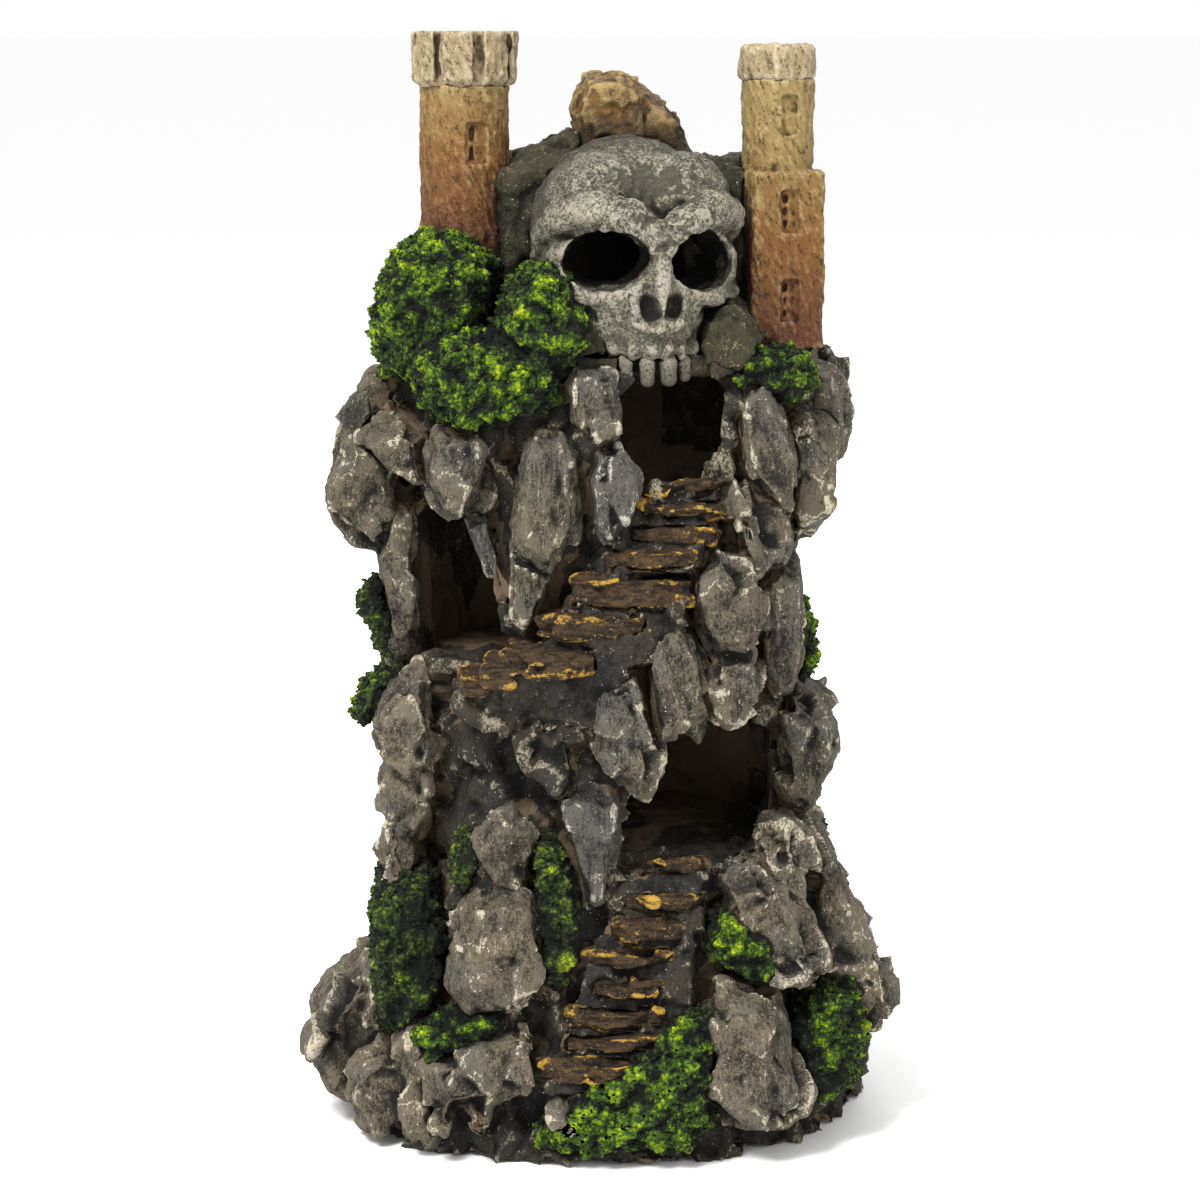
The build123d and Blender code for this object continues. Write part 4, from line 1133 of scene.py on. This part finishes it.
@dataclass(frozen=True)
class Skull:
    """The skull over the top cave, in a frame of its own: right, back and up from its middle.

    Attributes:
        middle: Where its middle is in the ornament.
        facing: How far it looks to the right, in degrees.
        socket: Half the size of an eye socket, and socket_middle where the right one is.
        grain: How its bone is sculpted, and enamel its teeth.
    """

    enamel: Relief = Relief(voxel=0.3, rounds=2, grit=0.1, grit_size=0.7)
    middle: Triple = (4.6, -11.5, 163.0)
    facing: float = 18.0
    socket: Triple = (7.5, 13.5, 5.5)
    socket_middle: Triple = (8.7, -15.5, -2.8)
    grain: BoneRelief = BoneRelief(
        voxel=0.4,
        rounds=1,
        chips=(Chips(2.4, 0.16, 0.2),),
        swell=0.3,
        swell_size=6.0,
        grit=0.24,
        grit_size=0.9,
    )

    def ball(self, middle: Triple, radii: Triple, roll: float = 0.0) -> bpy.types.Object:
        """Adds an egg shape.

        Args:
            middle: Its middle.
            radii: Its half sizes.
            roll: How far its right end is let down, in degrees.

        Returns:
            The shape.
        """
        bpy.ops.mesh.primitive_uv_sphere_add(
            segments=24,
            ring_count=16,
            radius=MM,
            location=Vector(middle) * MM,
            rotation=(0.0, math.radians(roll), 0.0),
            scale=radii,
        )
        bpy.ops.object.transform_apply(location=True, rotation=True, scale=True)
        return bpy.context.view_layer.objects.active

    def ridge(self, points: Sequence[Triple], radii: Sequence[float]) -> list[bpy.types.Object]:
        """Adds a rounded ridge of bone through some points.

        Args:
            points: The points along its middle.
            radii: How thick it is at each.

        Returns:
            Its shapes.
        """
        shapes = []
        for start, end, thick, thin in zip(points, points[1:], radii, radii[1:]):
            steps = max(2, round((Vector(end) - Vector(start)).length / 0.9))
            for step in range(steps + 1):
                share = step / steps
                radius = thick + (thin - thick) * share
                shapes.append(self.ball(tuple(Vector(start).lerp(Vector(end), share)), (radius,) * 3))
        return shapes

    def both_sides(self, points: Sequence[Triple], radii: Sequence[float]) -> list[bpy.types.Object]:
        """Adds a ridge on each side of the face."""
        mirrored = [(-right, back, up) for right, back, up in points]
        return self.ridge(points, radii) + self.ridge(mirrored, radii)

    def placed(self, piece: bpy.types.Object) -> None:
        """Turns a piece from the skull's frame to where it faces on the ornament."""
        pick([piece])
        piece.rotation_euler = (0.0, 0.0, math.radians(self.facing))
        piece.location = Vector(self.middle) * MM
        bpy.ops.object.transform_apply(location=True, rotation=True, scale=True)

    def braincase(self) -> list[bpy.types.Object]:
        """Adds the round of the head and the mass of the face."""
        return [
            self.ball((0.0, 1.0, 2.0), (17.6, 17.0, 16.6)),
            self.ball((-7.0, -6.5, 6.5), (10.5, 10.0, 9.5)),
            self.ball((7.0, -6.5, 6.5), (10.5, 10.0, 9.5)),
            self.ball((0.0, -8.5, -2.0), (8.0, 9.0, 9.0)),
            self.ball((-10.0, -6.5, -4.5), (8.2, 9.5, 9.0)),
            self.ball((10.0, -6.5, -4.5), (8.2, 9.5, 9.0)),
            self.ball((0.0, -11.3, -14.4), (9.2, 8.6, 6.4)),
            self.ball((0.0, -16.0, -10.6), (5.8, 4.8, 5.6)),
            self.ball((0.0, -16.4, -5.4), (4.4, 3.8, 4.6)),
            self.ball((-5.6, -14.6, -11.4), (3.6, 4.0, 4.0)),
            self.ball((5.6, -14.6, -11.4), (3.6, 4.0, 4.0)),
            self.ball((-7.0, -10.6, -11.8), (6.0, 7.0, 7.0)),
            self.ball((5.4, -11.0, -12.2), (5.0, 6.6, 6.6)),
        ]

    def ridges(self) -> list[bpy.types.Object]:
        """Adds the brows, the sockets' outer rims, the cheekbones, the nose and the upper jaw's edge."""
        outer = (17.4, -5.5, 1.0)
        corner = (16.8, -8.0, -9.0)
        root = (0.0, -17.4, 2.2)
        tip = (0.0, -21.4, -7.4)
        brow = [outer, (15.4, -11.4, 5.2), (10.0, -16.6, 6.2), (5.0, -19.4, 4.0), (1.8, -19.8, 0.6)]
        cheek = [corner, (12.2, -13.8, -9.6), (7.2, -16.6, -9.2), (3.8, -18.2, -6.2)]
        nostril = [root, (3.0, -18.6, -4.6), (4.9, -18.8, -10.2), (4.3, -19.2, -13.6), (0.6, -20.2, -15.0)]
        jaw = [(0.0, -18.7, -18.8), (4.8, -17.0, -18.8), (8.0, -12.6, -18.2)]
        shapes = self.both_sides(brow, [2.2, 3.0, 3.5, 3.5, 2.5])
        shapes += self.both_sides([outer, (17.6, -4.8, -4.0), corner], [1.9, 1.8, 1.9])
        shapes += self.both_sides(cheek, [2.0, 2.0, 1.8, 1.4])
        shapes += self.both_sides(nostril, [1.5, 1.1, 1.0, 1.0, 1.0])
        shapes += self.ridge([root, (0.0, -19.2, -3.0), tip], [2.3, 2.0, 1.3])
        shapes += self.ridge([tip, (0.0, -20.7, -14.6)], [0.75, 0.8])
        for right, back in ((1.5, -18.8), (4.4, -17.4), (7.4, -15.2)):
            root_of_tooth = [(right, back + 0.8, -15.8), (right, back, -18.2), (right, back + 0.3, -19.4)]
            shapes += self.both_sides(root_of_tooth, [0.9, 1.3, 1.1])
        return shapes + self.both_sides(jaw, [0.9, 0.9, 1.0])

    def hollows(self) -> list[bpy.types.Object]:
        """Adds what is cut away: the inside, the sockets, the nose and the hollows under the cheeks."""
        right, back, up = self.socket_middle
        shapes = [self.ball((0.0, 1.0, 1.0), (13.6, 13.0, 12.6))]
        for side in (-1.0, 1.0):
            shapes.append(self.ball((side * right, back, up), self.socket, side * 6.0))
            shapes.append(self.ball((side * 14.8, -9.5, -18.6), (4.6, 8.0, 4.6)))
            shapes.append(self.ball((side * 2.5, -21.6, -10.6), (2.0, 3.3, 3.3), side * 15.0))
        return shapes

    def bone(self) -> bpy.types.Object:
        """Models the skull before it is weathered.

        Returns:
            The skull, in its place.
        """
        body = joined(self.braincase() + self.ridges(), "skull_bone")
        remesh(body, 0.45, 5)
        cut = joined(self.hollows(), "hollows")
        remesh(cut, 0.45, 1)
        difference = body.modifiers.new("hollows", "BOOLEAN")
        difference.operation = "DIFFERENCE"
        difference.solver = "EXACT"
        difference.object = cut
        apply_modifiers(body)
        bpy.data.objects.remove(cut)
        self.placed(body)
        return body

    def teeth(self) -> bpy.types.Object:
        """Models the four stubby teeth.

        Returns:
            The row of teeth, in its place.
        """
        shapes = []
        for right, back, width, length in (
            (-5.4, -16.4, 1.45, 2.7),
            (-1.9, -18.0, 1.5, 3.0),
            (2.0, -18.0, 1.7, 2.8),
            (5.5, -16.4, 1.35, 2.5),
        ):
            crown = (right * 1.02, back, -20.7 - length)
            peg = [(right, back + 1.8, -19.2), (right, back + 0.3, -21.0), crown]
            shapes += self.ridge(peg, [width * 0.8, width, width * 0.88])
        row = joined(shapes, "teeth_bone")
        self.placed(row)
        return row

    def build(self, seed: int) -> list[tuple[bpy.types.Object, Finish, float]]:
        """Models the skull and its teeth.

        Args:
            seed: Makes their pattern their own.

        Returns:
            Each piece with its finish and the size of its skin's faces.
        """
        body = self.bone()
        self.grain.carve(body, seed)
        row = self.teeth()
        self.enamel.carve(row, seed)
        for piece, node in ((body, "skull"), (row, "teeth")):
            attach(piece, BODY)
            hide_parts(node)
        return [(body, BONE, self.grain.voxel), (row, BONE, self.enamel.voxel)]


@dataclass(frozen=True)
class Casting:
    """One or more castings of the frame that are remade in detail as one piece.

    Attributes:
        name: The name of the new piece.
        nodes: The castings in the frame.
        relief: How it is sculpted.
        finish: How it is painted.
    """

    name: str
    nodes: tuple[str, ...]
    relief: Relief
    finish: Finish

    def build(self, seed: int) -> bpy.types.Object:
        """Remakes the casting.

        Args:
            seed: Makes its pattern its own.

        Returns:
            The piece, riding on the ornament.
        """
        piece = casting(self.name, self.nodes)
        self.relief.carve(piece, seed)
        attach(piece, BODY)
        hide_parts(*self.nodes)
        return piece


TOOLED = Relief(
    voxel=0.31,
    rounds=1,
    chips=(Chips(3.4, 0.06, 0.14), Chips(1.3, 0.14, 0.1)),
    swell=0.15,
    swell_size=7.0,
    grit=0.12,
    grit_size=0.7,
    bedding=(0, 25, 0),
    stretch=2.2,
)
CAPSTONE = Relief(
    voxel=0.34,
    rounds=2,
    chips=(Chips(2.6, 0.12, 0.2), Chips(1.2, 0.16, 0.12)),
    swell=0.2,
    swell_size=5.0,
    grit=0.12,
    grit_size=0.7,
    stretch=2.0,
)
TREADS = Relief(
    voxel=0.36,
    rounds=2,
    chips=(Chips(3.2, 0.34, 0.5), Chips(1.2, 0.26, 0.18)),
    swell=0.6,
    swell_size=6.0,
    grit=0.14,
    grit_size=0.7,
    bedding=(0, 90, 0),
    stretch=3.5,
)
PEAK = Relief(
    voxel=0.42,
    rounds=3,
    chips=(Chips(5.5, 0.16, 0.4), Chips(2.0, 0.22, 0.25)),
    swell=0.6,
    swell_size=7.0,
    grit=0.14,
    grit_size=0.8,
)
PLATE = Relief(
    voxel=0.8,
    rounds=1,
    chips=(Chips(6.0, 0.1, 0.2), Chips(2.6, 0.28, 0.3)),
    swell=0.3,
    grit=0.1,
)
MOSSY = MossRelief(voxel=0.51, rounds=26, swell=0.7, swell_size=7.0)

ROCKS = (
    ("hanging_blade", Stone.SHARD, Paint.BLADE),
    ("arch_boulder", Stone.BOULDER, Paint.CRAG),
    ("arch_shard", Stone.SHARD, Paint.SHARD),
    ("left_overhang_ledge", Stone.BOULDER, Paint.CRAG),
    ("left_shoulder_boulder", Stone.BOULDER, Paint.CRAG),
    ("mouth_left_stone", Stone.COLUMN, Paint.CRAG),
    ("mouth_left_slab", Stone.SHARD, Paint.SHARD),
    ("mouth_right_slab", Stone.SHARD, Paint.CRAG),
    ("right_crag_tall", Stone.BOULDER, Paint.CRAG),
    ("right_crag_outer", Stone.BOULDER, Paint.CRAG),
    ("right_stair_stone", Stone.BOULDER, Paint.CRAG),
    ("stair_boulder_upper", Stone.BOULDER, Paint.CRAG),
    ("stair_boulder_lower", Stone.SHARD, Paint.CRAG),
    ("hanging_crag", Stone.BOULDER, Paint.CRAG),
    ("ledge_face", Stone.BOULDER, Paint.WALL),
    ("right_column", Stone.COLUMN, Paint.CRAG),
    ("right_lower_crag", Stone.BOULDER, Paint.CRAG),
    ("right_buttress", Stone.BOULDER, Paint.BASE),
    ("left_mid_boulder", Stone.BOULDER, Paint.BASE),
    ("lower_centre_boulder", Stone.BOULDER, Paint.BASE),
    ("cave_left_shard", Stone.SHARD, Paint.SHARD),
    ("base_left_wedge", Stone.BOULDER, Paint.BASE),
    ("base_left_stones", Stone.BOULDER, Paint.BASE),
    ("base_centre_slab", Stone.BOULDER, Paint.BASE),
    ("base_front_boulder", Stone.BOULDER, Paint.BASE),
    ("jaw_side_rocks", Stone.MELLOW, Paint.DUSTED),
    ("tower_saddles", Stone.MELLOW, Paint.DUSTED),
    ("back_upper_crags", Stone.REAR, Paint.REAR),
    ("back_middle_crags", Stone.REAR, Paint.CRAG),
    ("back_lower_crags", Stone.REAR, Paint.BASE),
    ("stair_beds", Stone.BED, Paint.WALL),
)
MOSSES = (
    ("upper_left_moss", FRESH_MOSS),
    ("right_shoulder_moss", FRESH_MOSS),
    ("left_edge_moss", OLD_MOSS),
    ("lower_left_moss", OLD_MOSS),
    ("centre_moss", OLD_MOSS),
    ("base_front_moss", FRESH_MOSS),
    ("right_moss", FRESH_MOSS),
    ("back_moss", OLD_MOSS),
)
LOWER_WALLS = ("base_plinth", "lower_slope_wall", "stair_foot_wall")
UPPER_WALLS = ("lower_cave_wall", "middle_cave_wall", "mouth_wall")
LEFT_TOWER = ("left_tower_shaft", "left_tower_window")
RIGHT_TOWER = ("right_tower_block", "right_tower_turret", "right_tower_windows")
CASTINGS = (
    *(Casting(f"{node}_rock", (node,), stone.value, finish.value) for node, stone, finish in ROCKS),
    *(Casting(f"{node}_clumps", (node,), MOSSY, finish) for node, finish in MOSSES),
    Casting("lower_rock_wall", LOWER_WALLS, Stone.WALL.value, Paint.WALL.value),
    Casting("upper_rock_wall", UPPER_WALLS, Stone.WALL.value, Paint.WALL.value),
    Casting("lower_cave_floor_rock", ("lower_cave_floor",), PLATE, Paint.WALL.value),
    Casting("middle_cave_floor_rock", ("middle_cave_floor",), PLATE, Paint.WALL.value),
    Casting("roof_rock", ("roof_plate",), PLATE, Paint.DUSTED.value),
    Casting("summit_crag_rock", ("summit_crag",), PEAK, SUMMIT),
    Casting("upper_flight_steps", ("upper_flight_treads",), TREADS, STEPS),
    Casting("lower_flight_steps", ("lower_flight_treads",), TREADS, STEPS),
    Casting("left_tower_shaft_stone", LEFT_TOWER, TOOLED, SHAFT),
    Casting("left_tower_battlement_stone", ("left_tower_battlement",), CAPSTONE, CAP),
    Casting("right_tower_stone", RIGHT_TOWER, TOOLED, BLOCK),
    Casting("right_tower_cap_stone", ("right_tower_cap",), CAPSTONE, CAP),
)


@dataclass(frozen=True)
class Studio:
    """A white floor, soft light from all sides and a camera in front of the ornament.

    Attributes:
        camera_place: Where the camera is, in metres.
        camera_tilt: How far it is raised from looking straight down, in degrees.
        lens: Its focal length, and sensor the width of its sensor.
        aim: The point that the lamps look at, in metres.
        floor_size: The side of the floor, in metres, and floor_drop how far it lies under the ornament.
        paper: How much light the floor gives back.
        sky: How bright the white surroundings are.
    """

    camera_place: Triple = (0.0, -0.64, 0.20)
    camera_tilt: float = 80.71
    lens: float = 104.4
    sensor: float = 36.0
    aim: Triple = (0.0, 0.0, 0.11)
    floor_size: float = 200.0
    floor_drop: float = 0.2
    paper: float = 0.97
    sky: float = 1.0

    def floor(self) -> None:
        """Lays a wide white floor."""
        bpy.ops.mesh.primitive_plane_add(size=self.floor_size, location=(0.0, 0.0, -self.floor_drop * MM))
        floor = bpy.context.view_layer.objects.active
        floor.name = "floor"
        made = bpy.data.materials.new("floor_paper")
        made.use_nodes = True
        shader = made.node_tree.nodes["Principled BSDF"]
        shader.inputs["Base Color"].default_value = (self.paper, self.paper, self.paper, 1.0)
        shader.inputs["Roughness"].default_value = 1.0
        floor.data.materials.append(made)

    def lamp(self, name: str, place: Triple, size: float, power: float) -> None:
        """Adds a square soft light that looks at the ornament's middle.

        Args:
            name: The lamp's name.
            place: Where it is, in metres.
            size: The length of its side, in metres.
            power: Its power, in watts.
        """
        bpy.ops.object.light_add(type="AREA", location=place)
        lamp = bpy.context.view_layer.objects.active
        lamp.name = name
        lamp.data.size = size
        lamp.data.energy = power
        lamp.rotation_euler = (Vector(self.aim) - Vector(place)).to_track_quat("-Z", "Y").to_euler()

    def build(self) -> None:
        """Sets up the floor, the light and the camera."""
        self.floor()
        self.lamp("key", (-0.35, -0.6, 0.85), 0.3, 15.0)
        self.lamp("fill", (0.8, -0.7, 0.35), 0.7, 3.0)
        self.lamp("rear", (0.2, 0.9, 0.6), 0.7, 5.0)
        world = bpy.data.worlds.new("studio")
        world.use_nodes = True
        background = world.node_tree.nodes["Background"]
        background.inputs["Color"].default_value = (1.0, 1.0, 1.0, 1.0)
        background.inputs["Strength"].default_value = self.sky
        bpy.context.scene.world = world
        tilt = (math.radians(self.camera_tilt), 0.0, 0.0)
        bpy.ops.object.camera_add(location=self.camera_place, rotation=tilt)
        camera = bpy.context.view_layer.objects.active
        camera.data.lens = self.lens
        camera.data.sensor_width = self.sensor
        camera.data.clip_start = 0.01
        bpy.context.scene.camera = camera
        bpy.context.scene.view_settings.view_transform = "Standard"


def main() -> None:
    """Builds the ornament piece by piece, finds its wear and where shade falls, paints it with that shade
    painted into its colours, and sets it in the studio.
    """
    logging.basicConfig(level=logging.INFO, format="%(message)s", stream=sys.stdout)
    bpy.ops.object.select_all(action="DESELECT")
    made: list[tuple[bpy.types.Object, Finish, float]] = []
    for seed, remade in enumerate(CASTINGS, start=1):
        made.append((remade.build(seed), remade.finish, remade.relief.voxel))
        log.info("sculpted %s", remade.name)
    made += Skull().build(SKULL_SEED)
    log.info("sculpted the skull and its teeth")

    copies = []
    for piece, _, _ in made:
        copy = bpy.data.objects.new("copy", piece.data.copy())
        bpy.context.collection.objects.link(copy)
        copies.append(copy)
    everything = joined(copies, "everything")
    wear_and_shade = WearAndShade(everything)
    for piece, finish, voxel in made:
        wear_and_shade.mark(piece, voxel * COARSE)
        finish.dress(piece)
        log.info("painted %s, %d faces", piece.name, len(piece.data.polygons))
    bpy.data.objects.remove(everything)

    Studio().build()


if __name__ == "__main__":
    main()
